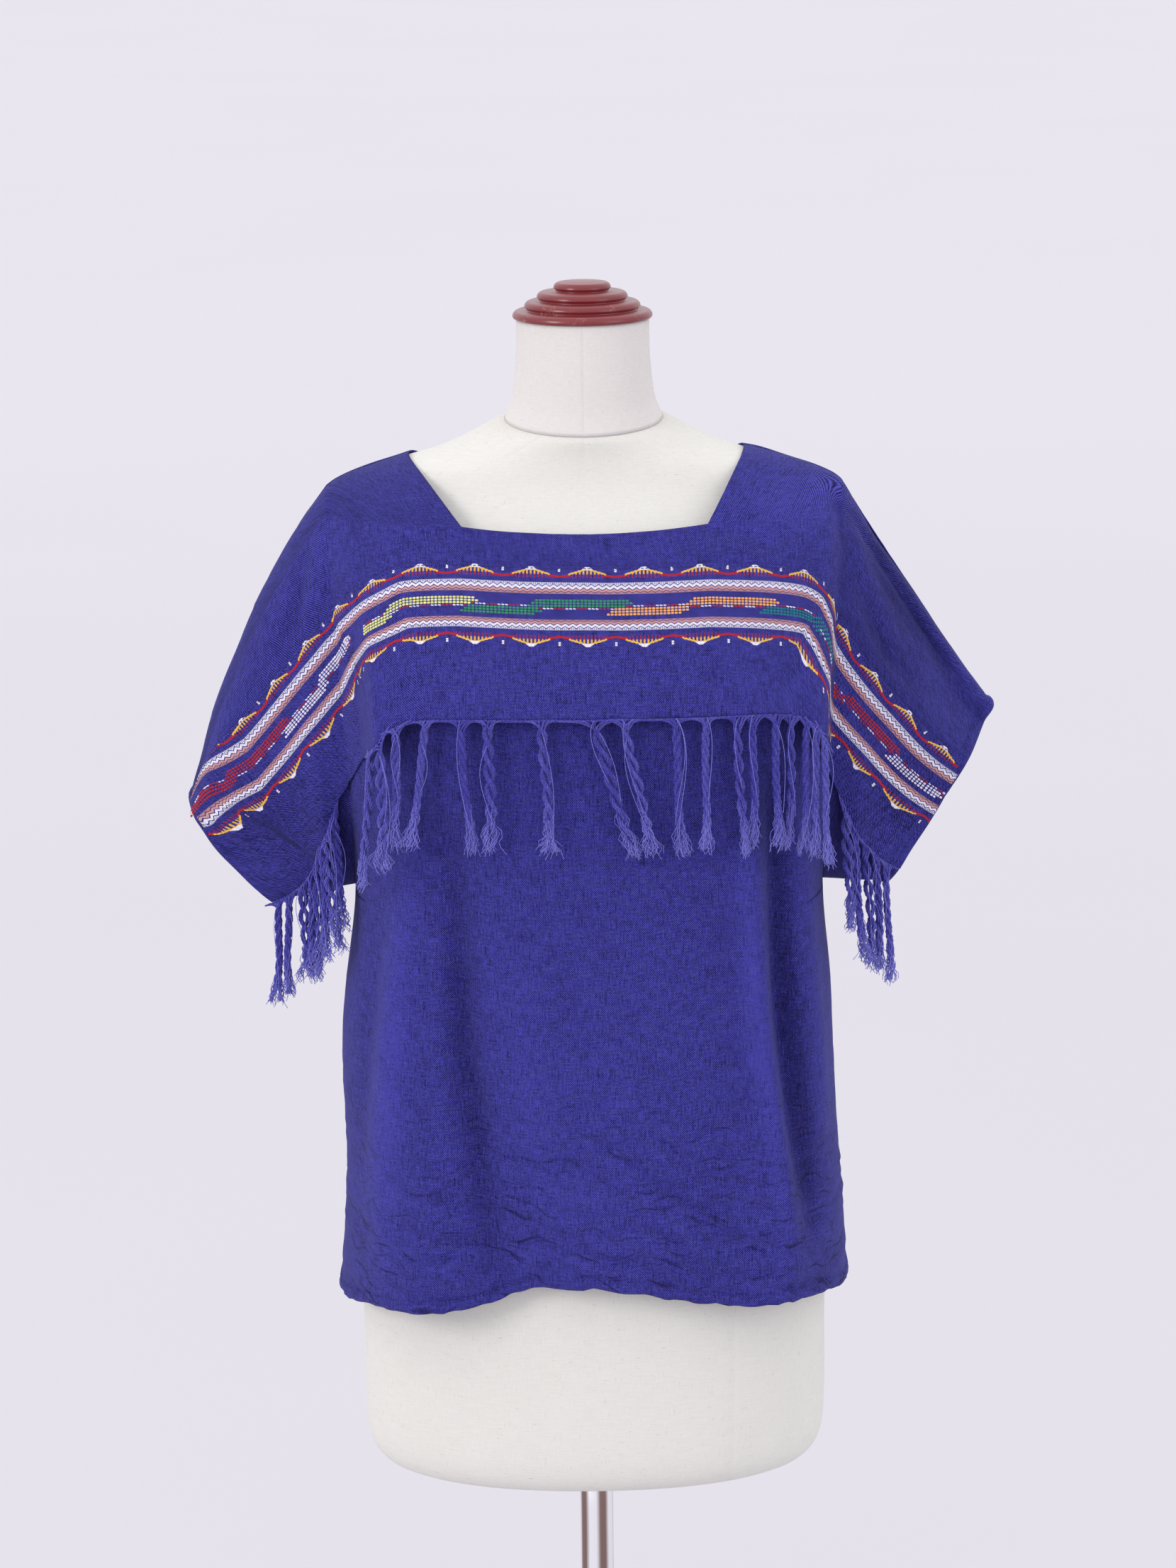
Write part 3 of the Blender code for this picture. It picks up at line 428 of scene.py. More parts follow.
    def sleeve(self, station: Points, v: Points, face: Face) -> Points:
        """Inner face of a sleeve, from the armhole line to the cuff."""
        side = np.where(station < 0, -1, 1)
        share = np.clip(np.abs(station) - 1, 0, 1)
        v = np.minimum(v, 1)
        down = self.share_of(v)
        top_x, top_z = (
            np.where(station < 0, SLEEVE_TOP.at("left" + axis, share), SLEEVE_TOP.at("right" + axis, share))
            for axis in ("_x", "_z")
        )
        first_x = self.by_side(station, (SLEEVE_TOP.rows[0][1], SLEEVE_TOP.rows[0][3]))
        arm_x = self.half_width(station, np.full_like(share, self.underarm_z))
        low_x = arm_x + (self.by_side(station, self.cuff_low_x) - arm_x) * share
        low_z = self.underarm_z + (self.by_side(station, self.cuff_low_z) - self.underarm_z) * share
        armhole = self.torso(side * 1.0, v, face)
        bow = self.by_side(station, self.cuff_bow) * share**1.5 * np.sin(np.pi * down)
        armhole_fix = np.abs(armhole[..., 0]) - (first_x + (arm_x - first_x) * down)
        x = top_x + (low_x - top_x) * down + bow + armhole_fix * (1 - share) ** 2
        straight_z = self.shoulder_end_z + (self.underarm_z - self.shoulder_end_z) * down
        z = top_z + (low_z - top_z) * down + (armhole[..., 2] - straight_z) * (1 - share)
        depth = self.armhole_depth + (self.cuff_depth - self.armhole_depth) * share
        middle = self.by_side(station, self.sleeve_backward) * np.sin(np.pi / 2 * share) * (1 - down)
        opened = depth * np.clip(np.sin(np.pi * v), 0, 1) ** 0.8
        opened += self.sleeve_folds(station, face, share, v)
        y = middle + face * (np.maximum(0, opened) + self.seam_gap / 2)
        return np.stack([side * x, y, z], axis=-1)

    def sleeve_folds(self, station: Points, face: Face, share: Points, v: Points) -> Points:
        """How far the folds along a sleeve stand out: nothing at the armhole and at the seams."""
        total = np.zeros_like(share)
        for fold in SLEEVE_FOLDS:
            if fold.face == face:
                here = (station < 0) == (fold.side == Side.LEFT)
                total += np.where(here, fold.depth * fall_off(v - fold.row, fold.half_width), 0)
        return total * np.sin(np.pi / 2 * share) ** 0.7 * np.minimum(1, 6 * v * (1 - v))

    def cloth(self, station: Points, v: Points, face: Face) -> Points:
        """Inner face of the front or back, anywhere between the two cuffs."""
        body = self.torso(station, v, face)
        arm = self.sleeve(station, v, face)
        return np.where((np.abs(station) <= 1)[..., None], body, arm)

    @staticmethod
    def flounce_value(column: str, station: Points) -> Points:
        """A column of the flounce's tables at each station."""
        reach = np.abs(station)
        return np.where(station < 0, FLOUNCE_LEFT.at(column, reach), FLOUNCE_RIGHT.at(column, reach))


@dataclass(frozen=True)
class Crease:
    """A soft ridge, or a trough where its depth is negative, drawn on one face as seen from it."""

    face: Face
    depth: float
    half_width: float
    path: tuple[tuple[float, float], ...]

    @classmethod
    def from_millimetres(cls, face: Face, depth: float, half_width: float, *path: float) -> "Crease":
        """A crease given in millimetres, whose path is the x and z of each point in turn."""
        places = tuple((x / 1000, z / 1000) for x, z in zip(path[::2], path[1::2]))
        return cls(face, depth / 1000, half_width / 1000, places)

    def height(self, x: Points, z: Points) -> Points:
        """How far the crease moves the cloth out at each place."""
        nearest = np.full(x.shape, np.inf)
        share = np.zeros(x.shape)
        lengths = [math.dist(a, b) for a, b in zip(self.path, self.path[1:])]
        passed = 0.0
        for (ax, az), (bx, bz), length in zip(self.path, self.path[1:], lengths):
            t = np.clip(((x - ax) * (bx - ax) + (z - az) * (bz - az)) / length**2, 0, 1)
            distance = np.hypot(x - ax - t * (bx - ax), z - az - t * (bz - az))
            share = np.where(distance < nearest, (passed + t * length) / sum(lengths), share)
            nearest = np.minimum(nearest, distance)
            passed += length
        spread = (nearest / self.half_width) ** 2
        taper = np.sqrt(np.clip(np.sin(np.pi * share), 0, 1))
        return self.depth * taper * (1 - 0.45 * spread) * np.exp(-spread)


CREASES_OF = {
    Face.FRONT: (
        (-7.5, 13.5, -96, 1060, -92, 897, -80, 800, -66, 700),
        (6, 13, -126, 1040, -140, 900, -150, 820, -153, 700), (-3, 9, -146, 990, -160, 880, -168, 780),
        (6.5, 10.5, 108, 1070, 119, 897, 129, 820, 146, 700),
        (-11.5, 10, 130, 1090, 138, 897, 147, 820, 160, 730), (3.5, 9, 152, 1020, 158, 897, 168, 800),
        (3, 22, -50, 960, -48, 860, -30, 760),
        (-6, 4.8, 186, 1258, 208.5, 1224, 233, 1182, 258, 1140, 274, 1122),
        (3.5, 6.5, 190, 1236, 206, 1200, 232, 1156, 254, 1124), (-3, 6, 196, 1196, 216, 1150, 240, 1120),
        (-3, 8.5, -198, 1226, -206, 1190, -222, 1150), (3, 8.5, -184, 1250, -190, 1216, -200, 1186),
        (-1.6, 2.2, -42.5, 1242, -32.5, 1235, -14, 1225), (1.4, 2.6, -56, 1244, -42, 1237, -25, 1229),
        (1.2, 2.6, -20, 1243, -4, 1235, 14, 1229), (1.6, 6, -12, 812, 30, 780, 88, 722),
        (-1.4, 5, 4, 822, 50, 780, 100, 745), (1.2, 4.5, -60, 772, -10, 752, 50, 742),
        (1.1, 4, -148, 738, -100, 726, -52, 730), (-1.2, 5, -160, 760, -120, 742, -80, 746),
        (1.2, 5, 20, 762, 70, 748, 112, 756), (-1.3, 4.5, -30, 734, 20, 726, 74, 730),
        (1.4, 6.5, -150, 905, -138, 840, -142, 790), (-1.6, 7, -92, 960, -88, 880, -70, 800),
        (1.8, 7, 116, 955, 124, 880, 138, 800), (-2.2, 6, 136, 980, 142, 890, 152, 815),
        (1.2, 5, 160, 940, 163, 880, 166, 800), (-1.1, 3.5, -67, 1246, -50, 1238, -34, 1233),
        (0.9, 3, -20, 1249, -6, 1240, 6, 1232), (-0.9, 3, 0, 1248, 14, 1240, 22, 1234),
        (1.4, 8, -172, 1262, -178, 1238, -172, 1206), (-1.3, 7, -160, 1262, -158, 1232, -150, 1205),
        (1.8, 8, 166, 1272, 172, 1240, 170, 1206), (-1.8, 7, 180, 1262, 185, 1228, 182, 1190),
        (-2.4, 7, 196, 1238, 216, 1190, 240, 1144), (1.8, 6.5, 190, 1226, 204, 1190, 226, 1146),
        (-1.4, 5.5, 206, 1080, 232, 1058, 262, 1040), (-1.6, 5.5, -280, 1036, -262, 1014, -240, 998),
        (1.4, 5, -270, 1030, -250, 1020, -232, 1000), (-1.2, 5, -250, 1190, -236, 1160, -228, 1128),
    ),
    Face.BACK: (
        (1.8, 8, -130, 1236, -80, 1214, -30, 1208), (-1.6, 7, -120, 1216, -70, 1196, -18, 1190),
        (1.6, 7.5, 134, 1232, 86, 1208, 36, 1204), (-1.8, 7, 150, 1186, 120, 1130, 112, 1060),
        (1.8, 8, -152, 1180, -122, 1120, -116, 1050), (-2, 8, -92, 1000, -86, 900, -96, 790),
        (1.8, 8, 72, 1010, 78, 900, 70, 800), (-1.8, 7, 96, 960, 100, 870, 92, 780),
        (1.3, 5, -70, 796, -20, 764, 40, 744), (-1.2, 5, -130, 752, -84, 738, -30, 742),
        (1.2, 4.5, 40, 730, 90, 744, 140, 736), (-1.8, 7, -262, 1110, -236, 1078, -214, 1030),
        (1.8, 7, 262, 1112, 240, 1090, 216, 1040), (-1.6, 6, 240, 1150, 212, 1120, 190, 1070),
    ),
}
CREASES = tuple(Crease.from_millimetres(face, *row) for face, rows in CREASES_OF.items() for row in rows)


@dataclass(frozen=True)
class PaintedShading:
    """A soft patch of painted light on the front, or of painted shade where its amount is negative."""

    x: float
    z: float
    half_width: float
    half_height: float
    amount: float


PAINTED_SHADING = (
    PaintedShading(0.228, 1.19, 0.036, 0.062, -1.0), PaintedShading(-0.212, 1.028, 0.06, 0.036, -1.1),
    PaintedShading(0.222, 1.05, 0.045, 0.034, -0.85), PaintedShading(0.146, 1.262, 0.03, 0.018, 0.75),
    PaintedShading(0.112, 0.9, 0.012, 0.13, 0.3), PaintedShading(-0.15, 0.88, 0.018, 0.12, 0.4),
    PaintedShading(0.152, 0.86, 0.01, 0.12, -0.75), PaintedShading(0.0, 0.84, 0.09, 0.2, 0.28),
)


@dataclass(frozen=True)
class Surface:
    """A grid of places on a piece of cloth: outer points, normals, and where they lie in the cut."""

    points: Points
    normals: Points
    across: Points
    down: Points
    # Painted light and shade, lighter on ridges and darker in troughs.
    wear_and_painted_shade: Points
    crumpled: Points

    @staticmethod
    def normals_of(points: Points, face: Face) -> Points:
        """Normals of a grid, pointing to the side that the face looks to."""
        along = np.gradient(points, axis=0)
        below = np.gradient(points, axis=1)
        normal = unit(np.cross(along, below))
        return normal * face


def new_mesh(name: str, points: list, faces: list, edges: list | tuple = ()) -> Mesh:
    """A mesh of these points and faces."""
    mesh = bpy.data.meshes.new(name)
    mesh.from_pydata(points, edges, faces)
    return mesh


def ring_faces(index: Points) -> list[list[int]]:
    """The faces of a closed tube, from the numbers of its points ring by ring."""
    here, after = index[:-1], index[1:]
    quads = np.stack([here, np.roll(here, -1, 1), np.roll(after, -1, 1), after], axis=-1)
    return [*quads.reshape(-1, 4).tolist(), index[0, ::-1].tolist(), index[-1].tolist()]


def lengths_along(points: Points) -> Points:
    """The length from the start of each line of a grid, or of one line, to each of its points."""
    step = np.linalg.norm(np.diff(points, axis=0), axis=-1)
    return np.concatenate([np.zeros((1, *step.shape[1:])), np.cumsum(step, axis=0)])


def read_along(where: Points, length: Points, vectors: Points) -> Points:
    """A line's vectors at these lengths from its start."""
    return np.stack([np.interp(where, length, vectors[:, k]) for k in range(3)], axis=1)


def axes_at(place: Points, right: Points, top: Points, back: Points) -> Matrix:
    """The matrix that puts something at a place with its own axes along these directions."""
    rows = [[right[k], top[k], back[k], place[k]] for k in range(3)]
    return Matrix([*rows, [0, 0, 0, 1]])


def add_object(name: str, data: bpy.types.ID) -> Object:
    """Adds an object to the scene."""
    thing = bpy.data.objects.new(name, data)
    bpy.context.scene.collection.objects.link(thing)
    return thing


def add_piece(name: str, mesh: Mesh, material: Material) -> Object:
    """Adds a piece of the object to the scene, riding on its one body.

    Args:
        name: The piece's name.
        mesh: Its mesh.
        material: Its finish.

    Returns:
        The new object.
    """
    piece = add_object(name, mesh)
    mesh.materials.append(material)
    mesh.shade_smooth()
    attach(piece, "root")
    LOG.info("%s: %d faces", name, len(mesh.polygons))
    return piece


def add_values(mesh: Mesh, name: str, values: Points) -> None:
    """Keeps one number for each point of a mesh, for its material to read."""
    attribute = mesh.attributes.new(name, "FLOAT", "POINT")
    attribute.data.foreach_set("value", values.astype(np.float32).ravel())


def add_colours(mesh: Mesh, name: str, colours: Points) -> None:
    """Keeps one colour for each point of a mesh, for its material to read."""
    attribute = mesh.attributes.new(name, "FLOAT_COLOR", "POINT")
    opaque = np.concatenate([colours, np.ones((len(colours), 1))], axis=1)
    attribute.data.foreach_set("color", opaque.astype(np.float32).ravel())


def grid_mesh(name: str, surface: Surface, kept: Points, face: Face) -> Mesh:
    """An open mesh over a surface's grid, with the cut's own coordinates as its UV map.

    Args:
        name: The mesh's name.
        surface: The grid.
        kept: Which cells of the grid are cloth.
        face: The side that the faces look to.

    Returns:
        The mesh, whose UV map "weave" is in metres.
    """
    columns, rows = surface.points.shape[:2]
    number = np.arange(columns * rows).reshape(columns, rows)
    corners = [number[:-1, :-1], number[1:, :-1], number[1:, 1:], number[:-1, 1:]]
    if face == Face.FRONT:
        corners.reverse()
    faces = np.stack(corners, axis=-1)[kept]
    used, faces = np.unique(faces, return_inverse=True)
    faces = faces.reshape(-1, 4)
    mesh = new_mesh(name, surface.points.reshape(-1, 3)[used].tolist(), faces.tolist())
    weave = mesh.uv_layers.new(name="weave")
    places = np.stack([surface.across.ravel()[used], surface.down.ravel()[used]], axis=-1)
    corner_places = places[faces.ravel()]
    weave.data.foreach_set("uv", corner_places.astype(np.float32).ravel())
    # Painted light and shade, which the material reads as colour.
    add_values(mesh, "wear_and_painted_shade", surface.wear_and_painted_shade.ravel()[used])
    add_values(mesh, "crumpled", surface.crumpled.ravel()[used])
    return mesh


def add_thickness(piece: Object, thickness: float) -> None:
    """Gives a cloth its inner face, this far behind the outer one."""
    wall = piece.modifiers.new("wall", "SOLIDIFY")
    wall.thickness = thickness
    wall.offset = -1
    wall.use_even_offset = False


def tube_mesh(name: str, paths: list[Points], radii: list[Points], sides: int) -> Mesh:
    """One mesh of many closed round threads.

    Args:
        name: The mesh's name.
        paths: The centreline of each thread, as an array of points.
        radii: The radius at each of those points.
        sides: Sides of each thread's section.

    Returns:
        The mesh.
    """
    corners = []
    faces = []
    start = 0
    turn = 2 * np.pi * np.arange(sides) / sides
    for path, radius in zip(paths, radii):
        tangent = unit(np.gradient(path, axis=0))
        first = unit(np.cross(tangent, np.array([0.13, 1.0, 0.07])))
        second = np.cross(tangent, first)
        ring = first[:, None] * np.cos(turn)[:, None] + second[:, None] * np.sin(turn)[:, None]
        corners.append((path[:, None] + ring * radius[:, None, None]).reshape(-1, 3))
        count = len(path) * sides
        faces += ring_faces(start + np.arange(count).reshape(-1, sides))
        start += count
    return new_mesh(name, np.concatenate(corners).tolist(), faces)


Number = "float | Value"


def math_method(operation: str, flipped: bool = False) -> Callable[..., "Value"]:
    """Makes a method of Value that adds one Math node.

    Args:
        operation: The node's operation.
        flipped: Whether the value itself comes last instead of first.

    Returns:
        The method, which takes the other numbers and gives the node's result.
    """

    def method(self: "Value", *others: Number) -> "Value":
        """Adds the node."""
        terms = [*reversed(others), self] if flipped else [self, *others]
        node = self.paint.node("ShaderNodeMath", {"operation": operation}, dict(enumerate(terms)))
        return Value(self.paint, node.outputs[0])

    return method


class Value:
    """A number that varies over a surface. Its operators add Math nodes to its material."""

    def __init__(self, paint: "Paint", socket: NodeSocket) -> None:
        """Wraps an output socket of one of the material's nodes."""
        self.paint = paint
        self.socket = socket

    __add__ = __radd__ = math_method("ADD")
    __sub__ = math_method("SUBTRACT")
    __rsub__ = math_method("SUBTRACT", flipped=True)
    __mul__ = __rmul__ = math_method("MULTIPLY")
    __truediv__ = math_method("DIVIDE")
    __abs__ = math_method("ABSOLUTE")
    __gt__ = math_method("GREATER_THAN")
    __lt__ = math_method("LESS_THAN")
    floor = math_method("FLOOR")
    fraction = math_method("FRACT")
    sine = math_method("SINE")
    least = math_method("MINIMUM")
    most = math_method("MAXIMUM")

    def clipped(self) -> "Value":
        """Kept between 0 and 1."""
        return self.most(0.0).least(1.0)

    def ramp(self, low: float, high: float) -> "Value":
        """0 below low, 1 above high, and straight between them."""
        return ((self - low) / (high - low)).clipped()

    def within(self, low: Number, high: Number, soft: float) -> "Value":
        """1 between low and high, fading over a soft edge at both ends."""
        return ((self - low) / soft + 0.5).clipped() * ((high - self) / soft + 0.5).clipped()


class Paint:
    """One material and the nodes that are added to it."""

    def __init__(self, name: str, **constants: float | Colour) -> None:
        """Makes a Principled material and sets the sockets that are the same all over it.

        Args:
            name: The material's name.
            constants: Values by the shader's socket name, with _ for a space.
        """
        self.material = bpy.data.materials.new(name)
        self.material.use_nodes = True
        self.tree = self.material.node_tree
        self.shader = self.tree.nodes["Principled BSDF"]
        for key, value in constants.items():
            socket = self.shader.inputs[key.replace("_", " ")]
            socket.default_value = (*value, 1) if isinstance(value, tuple) else value

    def node(self, kind: str, settings: dict, inputs: dict) -> Node:
        """Adds a node.

        Args:
            kind: The node's type.
            settings: Its settings by name, set first.
            inputs: A value, a Value or a socket for each of its sockets, by name or number.

        Returns:
            The node.
        """
        node = self.tree.nodes.new(kind)
        for key, value in settings.items():
            setattr(node, key, value)
        for key, value in inputs.items():
            source = value.socket if isinstance(value, Value) else value
            if isinstance(source, NodeSocket):
                self.tree.links.new(source, node.inputs[key])
            else:
                node.inputs[key].default_value = source
        return node

    def value(self, kind: str, settings: dict, inputs: dict, output: int | str = 0) -> Value:
        """Adds a node and wraps one of its outputs."""
        return Value(self, self.node(kind, settings, inputs).outputs[output])

    def feed(self, socket: str, value: Value | NodeSocket) -> None:
        """Links something that varies to one of the shader's sockets."""
        source = value.socket if isinstance(value, Value) else value
        self.tree.links.new(source, self.shader.inputs[socket])

    def mix(self, share: Number, low: object, high: object) -> NodeSocket:
        """A colour between two others, which are colours or sockets."""
        low = (*low, 1) if isinstance(low, tuple) else low
        high = (*high, 1) if isinstance(high, tuple) else high
        inputs = {0: share, 6: low, 7: high}
        return self.node("ShaderNodeMix", {"data_type": "RGBA"}, inputs).outputs[2]

    def shade(self, colour: object, light: Value) -> NodeSocket:
        """A colour made lighter or darker by a factor."""
        settings = {"operation": "SCALE"}
        colour = colour if isinstance(colour, NodeSocket) else tuple(colour)
        return self.node("ShaderNodeVectorMath", settings, {0: colour, "Scale": light}).outputs[0]

    def parts(self, place: NodeSocket) -> list[Value]:
        """The three numbers of a vector."""
        node = self.node("ShaderNodeSeparateXYZ", {}, {0: place})
        return [Value(self, output) for output in node.outputs]

    def uv(self) -> tuple[Value, Value]:
        """The place in the cloth's cut: across and down, in metres."""
        place = self.node("ShaderNodeUVMap", {"uv_map": "weave"}, {})
        across, down, _ = self.parts(place.outputs[0])
        return across, down

    def object_place(self) -> NodeSocket:
        """The place on the object, in metres."""
        return self.node("ShaderNodeTexCoord", {}, {}).outputs["Object"]

    def point(self, x: Number, y: Number, z: Number = 0.0) -> NodeSocket:
        """A vector of three numbers."""
        return self.node("ShaderNodeCombineXYZ", {}, {0: x, 1: y, 2: z}).outputs[0]

    def noise(self, place: object, scale: float, detail: float = 2.0, rough: float = 0.5) -> Value:
        """Soft noise around 0.5 at a place, with scale lumps to the unit."""
        inputs = {"Vector": place, "Scale": scale, "Detail": detail, "Roughness": rough}
        return self.value("ShaderNodeTexNoise", {}, inputs)

    def lumps(self, x: Number, y: Number, z: Number, scale: float, *shape: float) -> Value:
        """Soft noise around 0.5 at three numbers."""
        return self.noise(self.point(x, y, z), scale, *shape)

    def attribute(self, name: str, output: str = "Fac") -> Value:
        """A number or colour that the mesh keeps for each point."""
        return self.value("ShaderNodeAttribute", {"attribute_name": name}, {}, output)

    def bump(self, height: Value, distance: float, strength: float = 1.0) -> None:
        """Gives the shader a relief of this height."""
        inputs = {"Height": height, "Distance": distance, "Strength": strength}
        self.feed("Normal", self.node("ShaderNodeBump", {}, inputs).outputs[0])


COTTON_SHEEN = {"Sheen_Weight": 0.05, "Sheen_Roughness": 0.45, "Specular_IOR_Level": 0.18}


@dataclass(frozen=True)
class Twill:
    """Indigo cotton twill of uneven, handspun threads."""

    name: str = "indigo_cotton"
    line_pitch: float = 0.00107
    line_angle: float = math.radians(50)
    dark: Colour = Thread.INDIGO_DARK.value
    light: Colour = Thread.INDIGO_LIGHT.value
    thickness_of_slub: float = 0.0006
    length_of_slub: float = 0.011

    def ground(self, paint: Paint) -> tuple[NodeSocket, Value]:
        """The cloth itself.

        Args:
            paint: The material to add it to.

        Returns:
            Its colour and the height of its relief, in shares of a thread.
        """
        across, down = paint.uv()
        short, long = self.thickness_of_slub, self.length_of_slub
        weft = paint.lumps(across / long, down / short, 0.0, 1.0, 2.0)
        warp = paint.lumps(across / short, down / long, 7.0, 1.0, 2.0)
        streak = paint.lumps(across / (short * 2.4), down / (long * 1.3), 13.0, 1.0, 1.0)
        fleck = paint.lumps(across, down, 3.0, 1 / 0.0015, 2.0, 0.7)
        patch = paint.lumps(across * 0.7, down, 31.0, 1 / 0.0042, 2.0, 0.6)
        wear_and_painted_shade = paint.attribute("wear_and_painted_shade")
        crumpled = paint.attribute("crumpled")
        cloud = paint.lumps(across, down, 5.0, 1 / 0.026, 4.0, 0.65)
        sway = paint.lumps(across, down, 9.0, 1 / 0.008, 2.0)
        sine, cosine = math.sin(self.line_angle), math.cos(self.line_angle)
        line = (across * sine - down * cosine) / self.line_pitch
        length = (across * cosine + down * sine) / 0.0032
        broken = paint.lumps(length, line, 17.0, 1.0, 1.0)
        twill = (line * math.tau + (sway - 0.5) * 5.0).sine()
        share = twill * (broken * 0.9 + 0.05) + (weft - 0.5) * 1.15 + (warp - 0.5) * 1.45
        share = share + (fleck - 0.5) * 1.5 + (patch - 0.5) * 0.4 + (cloud - 0.5) * 0.3
        # Painted light on the creases' ridges and painted shade in their troughs, from the mesh's values.
        share = share + wear_and_painted_shade * 0.27 - streak.ramp(0.6, 0.74) * 0.3
        # Short crinkles where the cloth is crumpled, in the relief and in the colour: painted shade along
        # the crinkle lines, and painted light and shade over the soft folds.
        bend = paint.lumps(across, down, 27.0, 1 / 0.03, 1.0) * 0.03
        slope = down - across * 0.16 + bend
        creases = paint.lumps(across / 0.034, slope / 0.0042, 21.0, 1.0, 1.0, 0.4)
        fold = creases.ramp(0.6, 0.74) * crumpled
        soft_fold = paint.lumps(across / 0.06, slope / 0.011, 23.0, 1.0, 1.0)
        share = share - fold * 0.5 + (soft_fold - 0.5) * crumpled * 0.35
        colour = paint.mix((share + 0.47).clipped(), self.dark, self.light)
        height = twill * 0.11 + weft * 0.11 + warp * 0.11 - fold * 0.8 + soft_fold * crumpled * 1.6
        return colour, height

    def make(self) -> Material:
        """The finished material."""
        paint = Paint(self.name, Roughness=0.88, **COTTON_SHEEN)
        colour, height = self.ground(paint)
        paint.feed("Base Color", colour)
        paint.bump(height, 0.001)
        return paint.material


@dataclass(frozen=True)
class Brocade:
    """The twill with bands, fans and combs of coloured supplementary threads.

    Heights in it are measured from the outer tips of the fans towards the middle, and the lower half
    mirrors the upper one, beaten a little closer.
    """

    name: str = "brocade_cotton"
    twill: Twill = field(default_factory=Twill)
    column: float = 0.002633
    fan_columns: int = 15
    fan_offset: float = 0.0012
    middle: float = 0.0299
    lower_tip: float = 0.05834
    band_start: float = 0.0118
    lower_share: float = 0.884
    soft: float = 0.16

    def inward_from(self, down: Points) -> Points:
        """How far a height in the weave lies inside the nearer fan tips, for arrays in metres."""
        upper = down + 0.0004 * np.clip((down - 0.008) / 0.001, 0, 1)
        lower = self.lower_tip - down
        lower = lower + np.maximum(lower - self.band_start, 0) * (1 / self.lower_share - 1)
        return np.where(down < self.middle, upper, lower)

    def place(self, paint: Paint) -> tuple[Value, Value, Value, Value]:
        """Where a point lies in the repeat.

        Args:
            paint: The material to add it to.

        Returns:
            Millimetres along the strip, millimetres from the nearer fan tips, millimetres from the
            nearest fan's middle, and the place in its column from -0.5 to 0.5.
        """
        across, down = paint.uv()
        along = (across - self.fan_offset) * 1000
        height = down * 1000
        upper = height + height.ramp(8.0, 9.0) * 0.4
        lower = self.lower_tip * 1000 - height
        lower = lower + (lower - self.band_start * 1000).most(0.0) * (1 / self.lower_share - 1)
        is_upper = height < self.middle * 1000
        inward = upper * is_upper + lower * (1 - is_upper)
        period = self.fan_columns * self.column * 1000
        from_fan = abs(((along / period + 0.5).fraction() - 0.5) * period)
        in_column = (along / (self.column * 1000)).fraction() - 0.5
        return along, inward, from_fan, in_column

    def make(self) -> Material:
        """The finished material."""
        paint = Paint(self.name, Roughness=0.86, **COTTON_SHEEN)
        colour, height = self.twill.ground(paint)
        along, inward, from_fan, in_column = self.place(paint)
        soft = self.soft
        between = abs(in_column)
        ragged = paint.lumps(along, inward, 0.0, 1.4, 1.0) * 0.6 - 0.3
        inward = inward + ragged

        # The fans: fine teeth of red and yellow under a stepped yellow edge.
        tooth = ((between - 0.22) / 0.08).clipped()
        thin_tooth = ((between - 0.27) / 0.08).clipped()
        in_fan = (13.4 - from_fan).ramp(0.0, 0.4)
        pitch = self.column * 1000
        step = (from_fan / pitch + 0.5).floor() * pitch
        edge = (3.05 + (from_fan * 0.45 + step * 0.55 - 4.8) * 0.31).most(2.0)
        red_line = 5.9 + (from_fan - 12.5).most(0.0) * 0.16
        red = inward.within(red_line - 0.2, red_line + 1.5, soft) * (from_fan - 11.2).ramp(0.0, 1.0)
        red = red.most(inward.within(5.6, 8.6, soft) * in_fan * thin_tooth * 0.72)
        yellow = inward.within(edge - 0.5, edge + 0.75, soft) * in_fan
        yellow = yellow.most(inward.within(edge, 5.7, soft) * in_fan * tooth * 0.9)
        # A white cap on each fan, and pairs of white dots between the fans.
        cap = inward.within(0.3, 2.5, soft) * (1.4 + (inward - 0.3) * 1.35 - from_fan).ramp(-0.25, 0.25)
        dots = inward.within(1.3, 2.55, soft).most(inward.within(2.75, 4.0, soft))
        dots = dots * (from_fan - 18.9).ramp(-0.1, 0.1)

        # The white and the peach band, parted by a zigzag. The ground shows through their gaps.
        zigzag = 4 * abs((along / (2 * pitch)).fraction() - 0.5) - 1
        scallop = abs(((along / pitch) * 2).fraction() - 0.5) * 0.9
        white = inward.within(scallop + 12.0, zigzag * 0.95 + 17.0, soft)
        peach = inward.within(zigzag * 0.95 + 17.0, 20.9 - scallop, soft)
        gaps = inward.within(zigzag * 0.95 + 14.0, zigzag * 0.95 + 14.7, soft)
        gaps = gaps.most(inward.within(zigzag * 0.95 + 16.7, zigzag * 0.95 + 17.4, soft))
        gaps = gaps.most(inward.within(zigzag * 0.6 + 18.9, zigzag * 0.6 + 19.6, soft) * 0.85)
        notch = (0.11 - abs(between - 0.25)).ramp(0.0, 0.06)
        gaps = gaps.most(notch * inward.within(12.0, 14.0, 0.4) * 0.9)
        gaps = gaps.most(notch * inward.within(19.6, 21.0, 0.4) * 0.8)
        weave_gap = ((0.08 - (0.5 - between)) / 0.06).clipped() * 0.45

        fibres = paint.lumps(along * 0.5, inward * 6.0, 0.0, 1.0, 2.0)
        tone = fibres * 0.5 + 0.75
        for mask, thread in (
            (red, Thread.RED),
            (yellow, Thread.YELLOW),
            (cap.most(dots), Thread.WHITE),
            (white * (1 - gaps), Thread.WHITE),
            (peach * (1 - gaps), Thread.PEACH),
        ):
            colour = paint.mix(mask.clipped(), colour, paint.shade(thread.value, tone))
        raised = red.most(yellow).most(cap).most(dots).most((white + peach) * (1 - gaps)).clipped()
        relief = raised * (0.54 - weave_gap * 0.45) + height * (1 - raised) * 0.7 + fibres * raised * 0.13
        paint.feed("Base Color", colour)
        paint.bump(relief, 0.001)
        return paint.material


